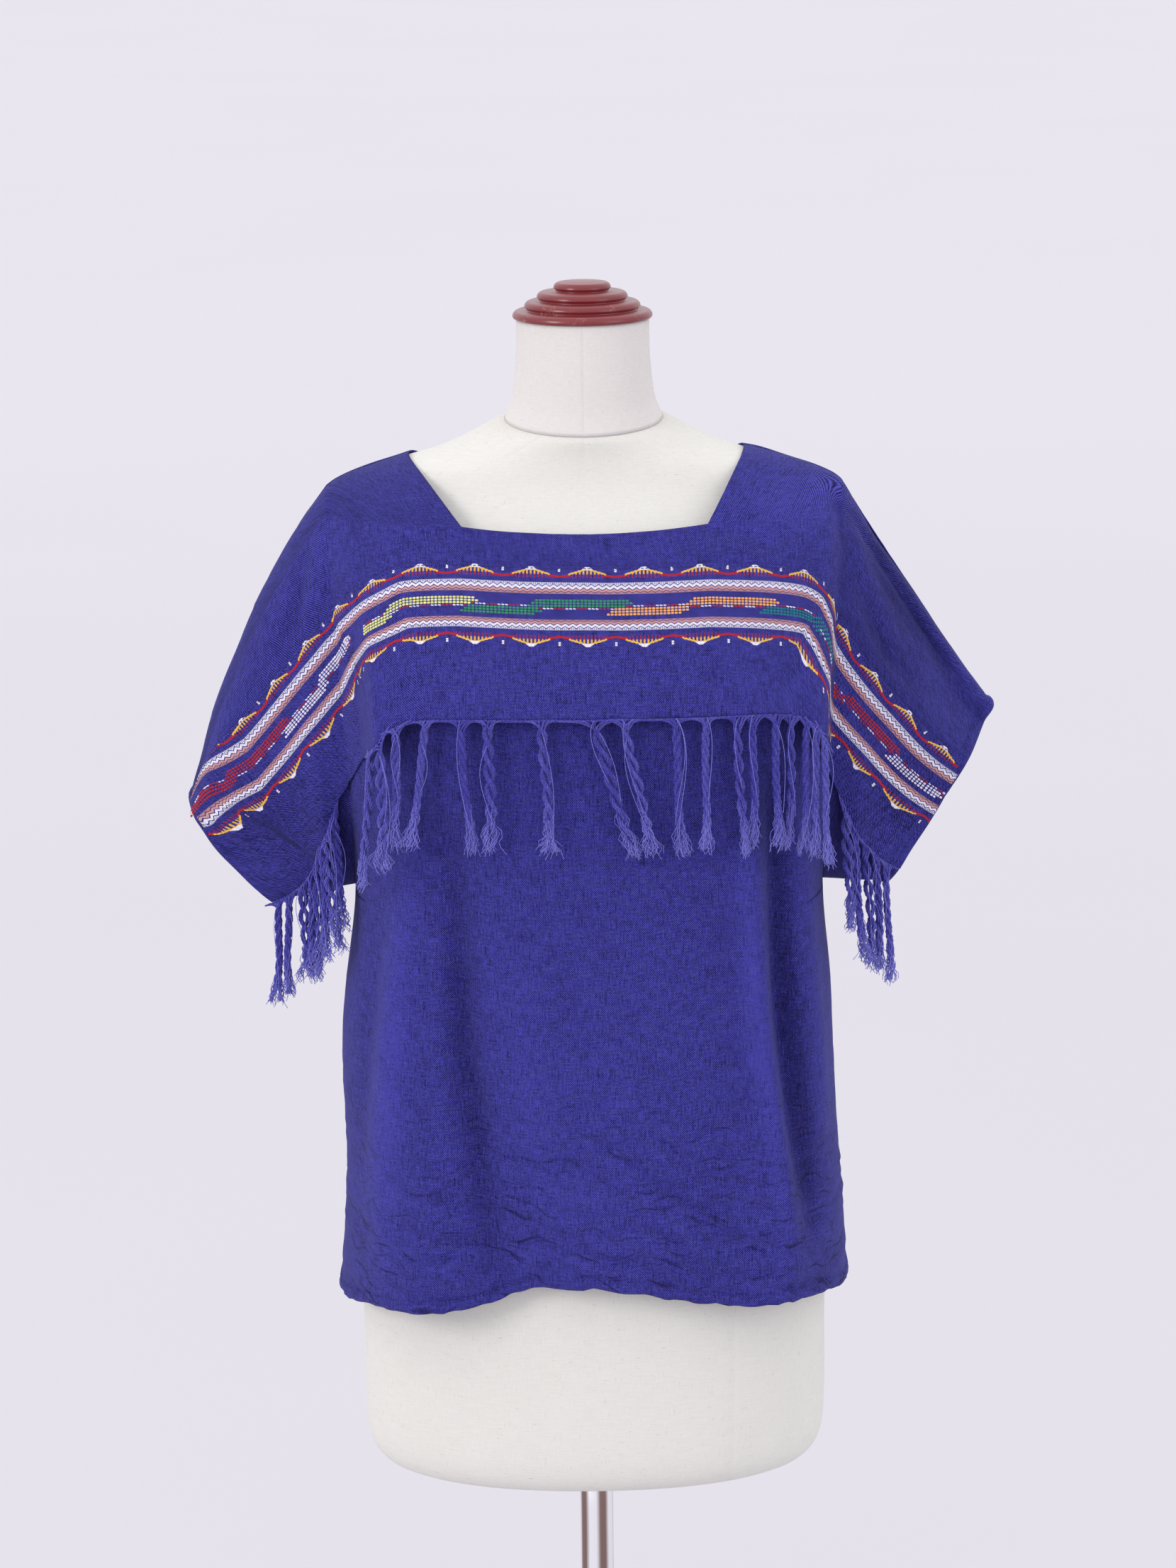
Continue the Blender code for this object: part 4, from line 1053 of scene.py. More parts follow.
@dataclass(frozen=True)
class Cord:
    """Cotton thread with visible fibres, whose colour its mesh may give and whose ends may be pale."""

    name: str
    colour: Colour = Thread.PERIWINKLE.value
    tip: Colour = Thread.PERIWINKLE_TIP.value
    own_colours: bool = False
    fibre_scale: float = 900.0

    def make(self) -> Material:
        """The finished material."""
        paint = Paint(
            self.name, Roughness=0.82, Sheen_Weight=0.3, Sheen_Roughness=0.4, Specular_IOR_Level=0.2
        )
        place = paint.object_place()
        lump = paint.noise(place, self.fibre_scale, 2.0, 0.6)
        tone = lump * 1.0 + 0.5
        if self.own_colours:
            colour = paint.node("ShaderNodeAttribute", {"attribute_name": "dye"}, {}).outputs["Color"]
        else:
            pale = paint.attribute("pale")
            colour = paint.mix((pale + (lump - 0.5) * 0.5).clipped(), self.colour, self.tip)
        paint.feed("Base Color", paint.shade(colour, tone))
        paint.bump(lump, 0.0002)
        return paint.material


@dataclass(frozen=True)
class Linen:
    """Natural linen stretched over the dress form, with slubs along both threads."""

    name: str
    colour: Colour
    slub: Colour = dyed(128, 116, 106)

    def make(self) -> Material:
        """The finished material."""
        paint = Paint(self.name, Roughness=0.9, Sheen_Weight=0.1, Specular_IOR_Level=0.15)
        x, y, z = paint.parts(paint.object_place())
        turn = paint.value("ShaderNodeMath", {"operation": "ARCTAN2"}, {0: y, 1: x}) * 0.14
        weft = paint.lumps(turn * 130, z * 900, 0.0, 1.0, 2.0, 0.6)
        warp = paint.lumps(turn * 900, z * 110, 4.0, 1.0, 2.0, 0.6)
        thin_weft = paint.lumps(turn * 60, z * 1100, 8.0, 1.0, 1.0)
        threads = ((turn * (math.tau / 0.0008)).sine() + (z * (math.tau / 0.0008)).sine()) * 0.25
        slubs = weft.ramp(0.66, 0.78) * 0.42 + warp.ramp(0.68, 0.8) * 0.34
        cloud = paint.noise(paint.object_place(), 14.0, 3.0)
        share = slubs + threads * 0.03 + (cloud - 0.5) * 0.08 + (thin_weft - 0.5) * 0.14
        share = (share + (warp - 0.5) * 0.12 + 0.06).clipped()
        paint.feed("Base Color", paint.mix(share, self.colour, self.slub))
        paint.bump(weft + warp + threads * 0.6, 0.00012)
        return paint.material


@dataclass(frozen=True)
class Lacquer:
    """Dark red gloss lacquer on turned wood, with pale scratches."""

    name: str = "cap_lacquer"
    colour: Colour = dyed(116, 22, 30)
    # Colour of the pale scratches worn through the lacquer.
    wear_and_painted_shade: Colour = dyed(226, 168, 144)

    def make(self) -> Material:
        """The finished material."""
        paint = Paint(self.name, Coat_Weight=0.35, Coat_Roughness=0.22, Specular_IOR_Level=0.5)
        place = paint.object_place()
        x, y, z = paint.parts(place)
        grain = paint.lumps(x * 60, y * 60, z * 900, 1.0, 3.0)
        scratch = paint.lumps(x * 300, y * 60, z * 420, 1.0, 1.0, 0.4)
        patch = paint.noise(place, 55.0, 1.0)
        scratches = scratch.within(0.492, 0.51, 0.01) * patch.ramp(0.5, 0.56)
        scratches = scratches * (1.4035 - z).ramp(0.0, 0.003)
        colour = paint.shade(self.colour, grain * 0.5 + 0.75)
        paint.feed("Base Color", paint.mix(scratches * 0.85, colour, self.wear_and_painted_shade))
        paint.feed("Roughness", grain * 0.14 + scratches * 0.4 + 0.27)
        paint.bump(grain * 0.2 - scratches, 0.00012)
        return paint.material


@dataclass(frozen=True)
class Plated:
    """Metal, polished or satin, with faint wiping marks, and bands of painted reflection round its upright
    axis where asked for.
    """

    name: str
    colour: Colour
    roughness: float
    metallic: float = 1.0
    painted_reflection_bands: float = 0.0
    painted_reflection_colour: Colour = dyed(136, 112, 104)

    def make(self) -> Material:
        """The finished material."""
        paint = Paint(self.name, Metallic=self.metallic)
        x, y, z = paint.parts(paint.object_place())
        wiped = paint.lumps(x * 40, y * 40, z * 260, 1.0, 3.0)
        smudge = paint.lumps(x * 18, y * 18, z * 9, 1.0, 3.0)
        turn = paint.value("ShaderNodeMath", {"operation": "ARCTAN2"}, {0: y, 1: x})
        # Painted reflection: dark bands by the angle round the upright axis.
        streak = ((turn * 5 + 0.9 + smudge * 0.5).sine() * 0.5 + 0.5).ramp(0.25, 0.85) * self.painted_reflection_bands
        colour = paint.mix(streak, self.colour, self.painted_reflection_colour)
        paint.feed("Base Color", paint.shade(colour, smudge * 0.1 + 0.95))
        paint.feed("Roughness", wiped * 0.05 + smudge.ramp(0.5, 0.8) * 0.1 + self.roughness)
        paint.bump(wiped, 0.00002)
        return paint.material


@dataclass(frozen=True)
class Paper:
    """Pale backdrop paper, with painted shade that darkens it near the stand."""

    name: str = "studio_paper"
    colour: Colour = dyed(216, 213, 219)

    def make(self) -> Material:
        """The finished material."""
        paint = Paint(self.name, Roughness=0.95, Specular_IOR_Level=0.05)
        place = paint.object_place()
        near = paint.value("ShaderNodeVectorMath", {"operation": "LENGTH"}, {0: place}, "Value")
        # Painted shade: darker near the stand, fading out by 9 metres.
        tone = paint.noise(place, 0.6, 2.0) * 0.03 + 0.985 - (1 - near.ramp(1.0, 9.0)) * 0.1
        paint.feed("Base Color", paint.shade(self.colour, tone))
        return paint.material


@dataclass
class Cloth:
    """The front or the back: one T-shaped cut with sleeves, a square neck and a hem."""

    face: Face
    drape: Drape = field(default_factory=Drape)
    outer: float = 0.0013
    wall: float = 0.0009
    body_columns: int = 132
    sleeve_columns: int = 44
    yoke_rows: int = 12
    chest_rows: int = 84
    skirt_rows: int = 92
    hem_fold: float = 0.008
    fold_height: float = 0.001
    rumple: float = 0.00045
    seam_overlap: float = 0.0008
    crumple_size: float = 0.0085

    def creased(self, points: Points) -> Points:
        """How far creases and rumples move the cloth out, at places on its smooth form."""
        x = points[..., 0]
        z = points[..., 2]
        total = sum(crease.height(x, z) for crease in CREASES if crease.face == self.face)
        seed = 11 if self.face == Face.FRONT else 29
        lean = x + 0.35 * z
        total = total + self.rumple * lattice_noise(lean, z * 0.55, 0.02, seed)
        near_hem = smooth_step((0.89 - z) / 0.14)
        crumple = lattice_noise(x * 0.42 + z * 0.5, z * 1.5, self.crumple_size, seed + 1)
        crumple += 0.6 * lattice_noise(x * 0.9 - z * 0.6, z * 1.6, self.crumple_size, seed + 2)
        patchy = 0.6 + 0.4 * lattice_noise(x, z, 0.035, seed + 3)
        total = total + crumple * patchy * (0.00018 + 0.00075 * near_hem)
        room = self.face * points[..., 1] - self.drape.form_depth(x, z, self.face)
        room -= self.drape.form_clearance
        room = np.where(np.abs(x) > 0.186, np.maximum(room, 0.012), room)
        return np.maximum(total, -0.0011 - np.clip(0.6 * room, 0, 0.011))

    def wear_and_painted_shade(self, points: Points) -> Points:
        """Painted light on the creases' ridges and painted shade in their troughs, with the front's patches
        of both, about -1 to 1.
        """
        x = points[..., 0]
        z = points[..., 2]
        total = sum(crease.height(x, z) for crease in CREASES if crease.face == self.face) / 0.0075
        if self.face == Face.FRONT:
            # Patches of painted light and painted shade on the front.
            for fade in PAINTED_SHADING:
                reach = np.hypot((x - fade.x) / fade.half_width, (z - fade.z) / fade.half_height)
                total = total + fade.amount * fall_off(reach, 1.0)
        return np.clip(total, -1.3, 1.1)

    @staticmethod
    def crumpled(points: Points) -> Points:
        """How crumpled the cloth is, from 0 to 1: most above the hem and at the sleeves' low corners."""
        x = np.abs(points[..., 0])
        z = points[..., 2]
        hem = smooth_step((0.885 - z) / 0.075) * (0.55 + 0.45 * smooth_step((0.8 - z) / 0.06))
        cuff = smooth_step((x - 0.195) / 0.035) * smooth_step((1.1 - z) / 0.06)
        return np.maximum(np.maximum(hem, 0.8 * cuff), 0.16)

    def surface_at(self, station: Points, v: Points, creased: bool = True) -> tuple[Points, Points]:
        """Outer points and normals of the cloth at a grid of places.

        Args:
            station: The station of each place.
            v: The row of each place.
            creased: Whether the creases are in it.

        Returns:
            The points and the normals.
        """
        inner = self.drape.cloth(station, v, self.face)
        normal = Surface.normals_of(inner, self.face)
        reach = np.abs(station)
        low = v > 1 - 1e-9
        seam = low & (np.abs(reach - 1) < 1e-9)
        sideways = np.stack([np.sign(station), 0 * v, 0 * v], axis=-1)
        normal = np.where(seam[..., None], sideways, normal)
        normal = np.where((low & (reach > 1 + 1e-9))[..., None], unit(normal * [1, 0, 1]), normal)
        calm = smooth_step((1 - np.where(low, reach, np.where(reach > 1, v, 0))) / 0.05)
        rise = self.outer + (self.creased(inner) * calm if creased else 0)
        points = inner + normal * np.broadcast_to(rise, inner.shape[:-1])[..., None]
        points[..., 1] = np.where(seam, -self.face * self.seam_overlap, points[..., 1])
        return points, normal

    def grid(self) -> tuple[Points, Points, int]:
        """Stations and rows of the whole panel.

        Returns:
            The station of each column, the row of each place, and the number of yoke rows.
        """
        drape = self.drape
        neck = drape.neck_station
        half = np.concatenate(
            [
                np.linspace(0, neck, self.body_columns // 5)[:-1],
                np.linspace(neck, 1, self.body_columns // 2 - self.body_columns // 5 + 1)[:-1],
                np.linspace(1, 1.9, self.sleeve_columns - 7)[:-1],
                np.linspace(1.9, 2, 9),
            ]
        )
        stations = np.concatenate([-half[:0:-1], half])
        yoke = drape.neckline_row * np.linspace(0, 1, self.yoke_rows + 1)[:-1]
        chest = np.linspace(drape.neckline_row, 1, self.chest_rows + 1)[:-1]
        even = np.linspace(1, 2 - 0.045, self.skirt_rows - 10)
        hem = 2 - 0.045 * np.linspace(1, 0, 12)[1:]
        rows = np.concatenate([yoke, chest, even, hem])
        station, v = np.meshgrid(stations, rows, indexing="ij")
        over = np.clip(np.abs(station) - 1, 0, 1)
        first = np.clip(rows / drape.neckline_row, 0, 1)[None]
        seam = drape.row_of(drape.flounce_value("seam", station))
        upper_end = np.minimum(drape.neckline_row, 0.7 * seam)
        end = drape.neckline_row + (upper_end - drape.neckline_row) * over
        rest = (v - drape.neckline_row) / (1 - drape.neckline_row)
        bent = np.where(v <= drape.neckline_row, end * first, end + (1 - end) * rest)
        return stations, np.where(v <= 1, bent, v), self.yoke_rows

    def surface(self) -> tuple[Surface, Points]:
        """The whole panel.

        Returns:
            Its surface, and which cells of the grid are cloth.
        """
        stations, v, yoke_rows = self.grid()
        station = np.broadcast_to(stations[:, None], v.shape)
        points, normals = self.surface_at(station, v)
        middle = np.abs(stations[1:] + stations[:-1]) / 2
        row = np.arange(v.shape[1] - 1)
        in_neck = (middle[:, None] < self.drape.neck_station) & (row[None] < yoke_rows)
        in_skirt = v[:-1, :-1] >= 1 - 1e-9
        kept = ~in_neck & ~((middle[:, None] > 1) & in_skirt)

        step_down = np.linalg.norm(np.diff(points, axis=1), axis=-1)
        step_down[np.abs(stations) < self.drape.neck_station - 1e-9, :yoke_rows] = 0
        down = np.concatenate([np.zeros((len(stations), 1)), np.cumsum(step_down, axis=1)], axis=1)
        down -= down[:, yoke_rows : yoke_rows + 1]
        step_across = np.linalg.norm(np.diff(points, axis=0), axis=-1)
        open_columns = middle < self.drape.neck_station
        step_across[open_columns, :yoke_rows] = step_across[open_columns, yoke_rows][:, None]
        across = np.concatenate([np.zeros((1, v.shape[1])), np.cumsum(step_across, axis=0)], axis=0)
        across -= across[len(stations) // 2]

        from_hem = down[:, -1:] - down
        from_cuff = np.minimum(across - across[:1], across[-1:] - across)
        below = self.rolled(from_hem, across, 3) * (np.abs(station) <= 1)
        beside = self.rolled(from_cuff, down, 4) * (v < 1)
        points = points + normals * np.where(v < 1, beside, below)[..., None]
        ragged = lattice_noise(across, across * 0 + 0.3, 0.0075, 8)
        ragged = ragged + lattice_noise(across, across * 0, 0.019, 9)
        points[..., 2] += np.where(v > 1, 0.001 * ragged * smooth_step(1 - from_hem / 0.016), 0)
        return Surface(points, normals, across, down, self.wear_and_painted_shade(points), self.crumpled(points)), kept

    def rolled(self, from_edge: Points, along: Points, seed: int) -> Points:
        """How far a folded and stitched edge stands out: a puckered roll and a groove behind it.

        Args:
            from_edge: Distance of each place from the edge.
            along: Its place along the edge.
            seed: Start of the random puckers.

        Returns:
            The height at each place.
        """
        share = np.clip(from_edge / self.hem_fold, 0, 1)
        pucker = 1 + 0.75 * lattice_noise(along, from_edge * 0.6, 0.0055, seed)
        roll = np.sqrt(np.sin(np.pi * share)) * pucker + 0.35 * (share < 1)
        uneven = 1 + 0.4 * lattice_noise(along, along, 0.004, seed)
        groove = fall_off(from_edge - self.hem_fold, 0.0012) * uneven
        return self.fold_height * (roll - 0.95 * groove) * (from_edge < 2 * self.hem_fold)

    def build(self, material: Material) -> Object:
        """Adds the panel."""
        name = self.face.word + "_cloth"
        surface, kept = self.surface()
        mesh = grid_mesh(name, surface, kept, self.face)
        piece = add_piece(name, mesh, material)
        add_thickness(piece, self.wall)
        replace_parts(piece, "front" if self.face == Face.FRONT else "back")
        return piece


@dataclass
class Flounce:
    """The brocade strip: it follows the front a thread away, sewn above and free below."""

    front: Cloth = field(default_factory=lambda: Cloth(Face.FRONT))
    finish: Brocade = field(default_factory=Brocade)
    gap: float = 0.0002
    wall: float = 0.0009
    end: float = 1.985
    columns: int = 470
    rows: int = 58
    band_height: float = 0.00035
    edge_wave: float = 0.0011
    wave_length: float = 0.034
    window: int = 60
    left_seam_offset: tuple[tuple[float, float], ...] = ((-2.0, 0.021), (-1.8, 0.008), (-1.6, 0.0))
    folds: tuple[tuple[Side, float, float, float], ...] = (
        (Side.LEFT, 0.67, 0.78, 0.0),
        (Side.RIGHT, 0.92, 1.02, 0.015),
    )
    surface: Surface | None = None
    stations: Points | None = None

    def lifted(self, station: Points, t: Points) -> Points:
        """Outer points of the strip before its own relief: t is 0 at its seam and 1 at its edge."""
        drape = self.front.drape
        seam = drape.row_of(drape.flounce_value("seam", station))
        edge = drape.row_of(drape.flounce_value("edge", station))
        points, normals = self.front.surface_at(station, seam + (edge - seam) * t)
        points = points + normals * (self.gap + self.wall)
        lift = drape.flounce_value("lift", station) * (0.25 * t + 0.75 * t**1.6)
        wave = self.edge_wave * t**2 * (1 + lattice_noise(station * 0.19, t * 0.02, self.wave_length / 2, 5))
        points[..., 1] -= lift + wave
        return points

    def shape(self) -> None:
        """Works out the strip's surface, with the place in the weave of each point."""
        stations = np.linspace(-self.end, self.end, self.columns + 1)
        t = np.linspace(0, 1, self.rows + 1)
        station, t = np.meshgrid(stations, t, indexing="ij")
        points = self.lifted(station, t)
        normals = Surface.normals_of(points, Face.FRONT)
        across = lengths_along(points)
        across -= across[self.columns // 2]
        across = self.squared(points, across, stations)
        down = np.empty(t.shape)
        for i in range(len(stations)):
            near = points[max(0, i - self.window) : i + self.window + 1, 0]
            down[i] = np.linalg.norm(points[i][:, None] - near[None], axis=-1).min(axis=1)
        places, offsets = zip(*self.left_seam_offset)
        down += np.interp(stations, places, offsets)[:, None]
        inward = self.finish.inward_from(down) * 1000
        band = smooth_step((inward - 11.8) / 0.9) * smooth_step((21.2 - inward) / 0.9)
        turned = smooth_step((0.0012 - down + down[:, :1]) / 0.0008)
        rolled = smooth_step((t - 0.985) / 0.01)
        relief = self.band_height * np.maximum(band, np.maximum(turned, rolled))
        points = points + normals * relief[..., None]
        self.stations = stations
        # The front's painted light and shade, a little weaker on the strip.
        wear_and_painted_shade = self.front.wear_and_painted_shade(points) * 0.8
        self.surface = Surface(points, normals, across, down, wear_and_painted_shade, np.full(wear_and_painted_shade.shape, 0.16))

    def squared(self, points: Points, across: Points, stations: Points) -> Points:
        """Sets the weave's columns square to the strip on the sleeves, beyond the folds at the bust.

        Args:
            points: The strip's grid.
            across: The length along each row of it, from the middle.
            stations: The station of each column of the grid.

        Returns:
            Where each point lies along the weave, with what the folds hide taken up in them.
        """
        result = across.copy()
        for side, start, end, hidden in self.folds:
            line = points[stations * side > end, 2]
            length = across[stations * side > end, 2] + side * hidden
            tangent = unit(np.gradient(line, axis=0))
            for i in np.flatnonzero(stations * side > start):
                gap = np.linalg.norm(points[i][:, None] - line[None], axis=-1)
                nearest = gap.argmin(axis=1)
                beyond = ((points[i] - line[nearest]) * tangent[nearest]).sum(axis=-1)
                share = smooth_step((stations[i] * side - start) / (end - start))
                result[i] += share * (length[nearest] + beyond - result[i])
        return result

    def in_fold(self, station: float) -> bool:
        """Whether a station lies in one of the folds at the bust."""
        return any(start + 0.01 < station * side < end for side, start, end, _ in self.folds)

    def build(self, material: Material) -> Object:
        """Adds the strip."""
        self.shape()
        kept = np.ones((self.columns, self.rows), bool)
        mesh = grid_mesh("flounce_cloth", self.surface, kept, Face.FRONT)
        piece = add_piece("flounce_cloth", mesh, material)
        add_thickness(piece, self.wall)
        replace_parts(piece, "flounce")
        return piece

    def find(self, across: float, down: float) -> tuple[Points, Points, Points, Points]:
        """The place on the strip with these coordinates in the weave.

        Args:
            across: Metres along the strip from its middle.
            down: Metres below its seam.

        Returns:
            The outer point, the direction along the strip, the direction down it, and the normal.
        """
        surface = self.surface
        off = (surface.across - across) ** 2 + (surface.down - down) ** 2
        i, j = np.unravel_index(off.argmin(), off.shape)
        i, j = max(int(i), 1), max(int(j), 1)
        grid = surface.points
        maps = (surface.across, surface.down)
        rows = [[values[i, j] - values[i - 1, j], values[i, j] - values[i, j - 1]] for values in maps]
        back = np.linalg.inv(np.array(rows))
        steps = np.stack([grid[i, j] - grid[i - 1, j], grid[i, j] - grid[i, j - 1]])
        away = np.array([across - surface.across[i, j], down - surface.down[i, j]])
        point = grid[i, j] + (back @ away) @ steps
        along = unit(back[:, 0] @ steps)
        normal = surface.normals[i, j]
        return point, along, np.cross(normal, along), normal


@dataclass(frozen=True)
class Block:
    """One colour's two blocks of floats, counted in columns from the middle of the strip."""

    colour: Thread
    lower_start: int
    lower_columns: int
    upper_start: int
    upper_columns: int


BLOCKS = (
    Block(Thread.RED, -154, 21, -136, 27), Block(Thread.WHITE, -114, 21, -96, 27),
    Block(Thread.LIME, -74, 21, -56, 27), Block(Thread.GREEN, -34, 22, -16, 28),
    Block(Thread.ORANGE, 5, 22, 26, 26), Block(Thread.TEAL, 46, 21, 64, 26),
    Block(Thread.RED, 84, 21, 103, 24), Block(Thread.WHITE, 124, 20, 143, 26),
)


@dataclass
class Beads:
    """Raised floats of the brocade: blocks of short rounded floats, and the line between them."""

    flounce: Flounce
    first_row: float = 0.0251
    row_pitch: float = 0.00194
    length: float = 0.00234
    width: float = 0.00166
    height: float = 0.00062
    starts: tuple[int, int, int] = (2, 1, 0)
    ends: tuple[int, int, int] = (1, 0, 2)
    dash_share: float = 0.62
    dash_slant: float = 0.2
    rings: tuple[tuple[float, float], ...] = ((1.0, -0.25), (0.95, 0.35), (0.7, 0.85))
    sides: int = 8
    boxiness: float = 0.55
    chart_row: int = 20
    end_margin: float = 0.0015

    def places(self) -> list[tuple[float, float, Thread, float, float]]:
        """Each float: its column, its height in the weave, its colour, its width and its slant."""
        found = []
        filled = set()
        for block in BLOCKS:
            upper = (block.upper_start, block.upper_columns)
            lower = (block.lower_start, block.lower_columns)
            for row in range(6):
                start, count = upper if row < 3 else lower
                height = self.first_row + row * self.row_pitch
                for column in range(start + self.starts[row % 3], start + count - self.ends[row % 3]):
                    filled.add((column, row))
                    found.append((column, height, block.colour, self.width, 0.0))
        for column in range(BLOCKS[0].lower_start, -BLOCKS[0].lower_start):
            above = (column, 2) in filled
            below = (column, 3) in filled
            row = 3.0 if above and not below else 2.0 if below and not above else 2.5
            if above and below:
                continue
            colour = Thread.RED if (column // 3) % 2 else Thread.WHITE
            height = self.first_row + row * self.row_pitch
            found.append((column, height, colour, self.width * self.dash_share, self.dash_slant))
        return found

    def build(self, material: Material) -> Object:
        """Adds all the floats as one mesh."""
        finish = self.flounce.finish
        surface = self.flounce.surface
        turn = 2 * np.pi * np.arange(self.sides) / self.sides
        cos, sin = (np.sign(wave) * np.abs(wave) ** self.boxiness for wave in (np.cos(turn), np.sin(turn)))
        count = len(self.rings) * self.sides
        corners = []
        faces = []
        dyes = []
        random = np.random.default_rng(3)
        places = surface.across[:, self.chart_row]
        first, last = places.min() + self.end_margin, places.max() - self.end_margin
        for column, down, colour, width, slant in self.places():
            across = (column + 0.5) * finish.column + finish.fan_offset
            i = min(int(np.searchsorted(places, across)), self.flounce.columns)
            if not first < across < last or down < surface.down[i, 0] + 0.001:
                continue
            if self.flounce.in_fold(self.flounce.stations[i]):
                continue
            point, along, under, normal = self.flounce.find(across, down)
            slanted = along * math.cos(slant) - under * math.sin(slant)
            sideways = np.cross(normal, slanted)
            half = 0.5 * self.length * random.uniform(0.96, 1.0)
            half_width = 0.5 * width * random.uniform(0.93, 1.0)
            start = len(corners)
            for share, level in self.rings:
                flat = np.outer(cos * half * share, slanted) + np.outer(sin * half_width * share, sideways)
                corners += list(point + flat + normal * (level * self.height))
            corners.append(point + normal * self.height * 1.05)
            *walls, bottom, top = ring_faces(start + np.arange(count).reshape(-1, self.sides))
            faces += walls
            faces += [(a, b, len(corners) - 1) for a, b in zip(top, top[1:] + top[:1])]
            faces.append(bottom)
            shade = random.uniform(0.86, 1.05)
            dyes += [np.array(colour.value) * shade] * (count + 1)
        mesh = new_mesh("brocade_floats", [tuple(corner) for corner in corners], faces)
        add_colours(mesh, "dye", np.array(dyes))
        return add_piece("brocade_floats", mesh, material)


@dataclass(frozen=True)
class Lock:
    """One bunch of the fringe: where it hangs, how long it is, how far it drifts and how thick."""

    station: float
    length: float
    drift: float
    width: float
    paired: bool = False
    reach: float = 1.0


CHEST_LOCKS = (
    Lock(-0.69, 0.098, -0.004, 1.2, True), Lock(-0.635, 0.092, 0.001, 1.2, True),
    Lock(-0.56, 0.086, -0.002, 1.2), Lock(-0.455, 0.09, -0.012, 1.1), Lock(-0.345, 0.093, 0.006, 1.0),
    Lock(-0.27, 0.093, 0.002, 1.2, True), Lock(-0.12, 0.094, 0.006, 1.2, True),
    Lock(0.01, 0.097, 0.028, 1.3, True, 1.9), Lock(0.085, 0.096, 0.02, 1.1, True, 1.5),
    Lock(0.225, 0.096, 0.004, 1.1), Lock(0.31, 0.094, -0.002, 1.0), Lock(0.4, 0.098, 0.004, 1.0, True),
    Lock(0.455, 0.092, 0.0, 1.1), Lock(0.535, 0.094, 0.0, 1.1), Lock(0.605, 0.092, -0.003, 0.9, True),
    Lock(0.69, 0.093, -0.003, 1.0), Lock(0.76, 0.092, -0.002, 1.0), Lock(0.83, 0.092, 0.001, 1.0),
)
LEFT_LOCKS = (
    Lock(-1.9, 0.076, -0.002, 1.0), Lock(-1.76, 0.074, -0.002, 1.0), Lock(-1.56, 0.07, 0.002, 1.2, True),
    Lock(-1.44, 0.078, 0.002, 1.2), Lock(-1.33, 0.084, 0.002, 1.3, True), Lock(-1.27, 0.082, 0.005, 1.3),
    Lock(-1.21, 0.086, 0.006, 1.4, True), Lock(-1.145, 0.084, 0.005, 1.3),
)
RIGHT_LOCKS = (
    Lock(1.19, 0.088, 0.004, 1.2, True), Lock(1.3, 0.096, 0.006, 1.2), Lock(1.44, 0.09, 0.004, 1.1, True),
    Lock(1.6, 0.086, 0.003, 1.2), Lock(1.76, 0.088, 0.001, 1.0),
)


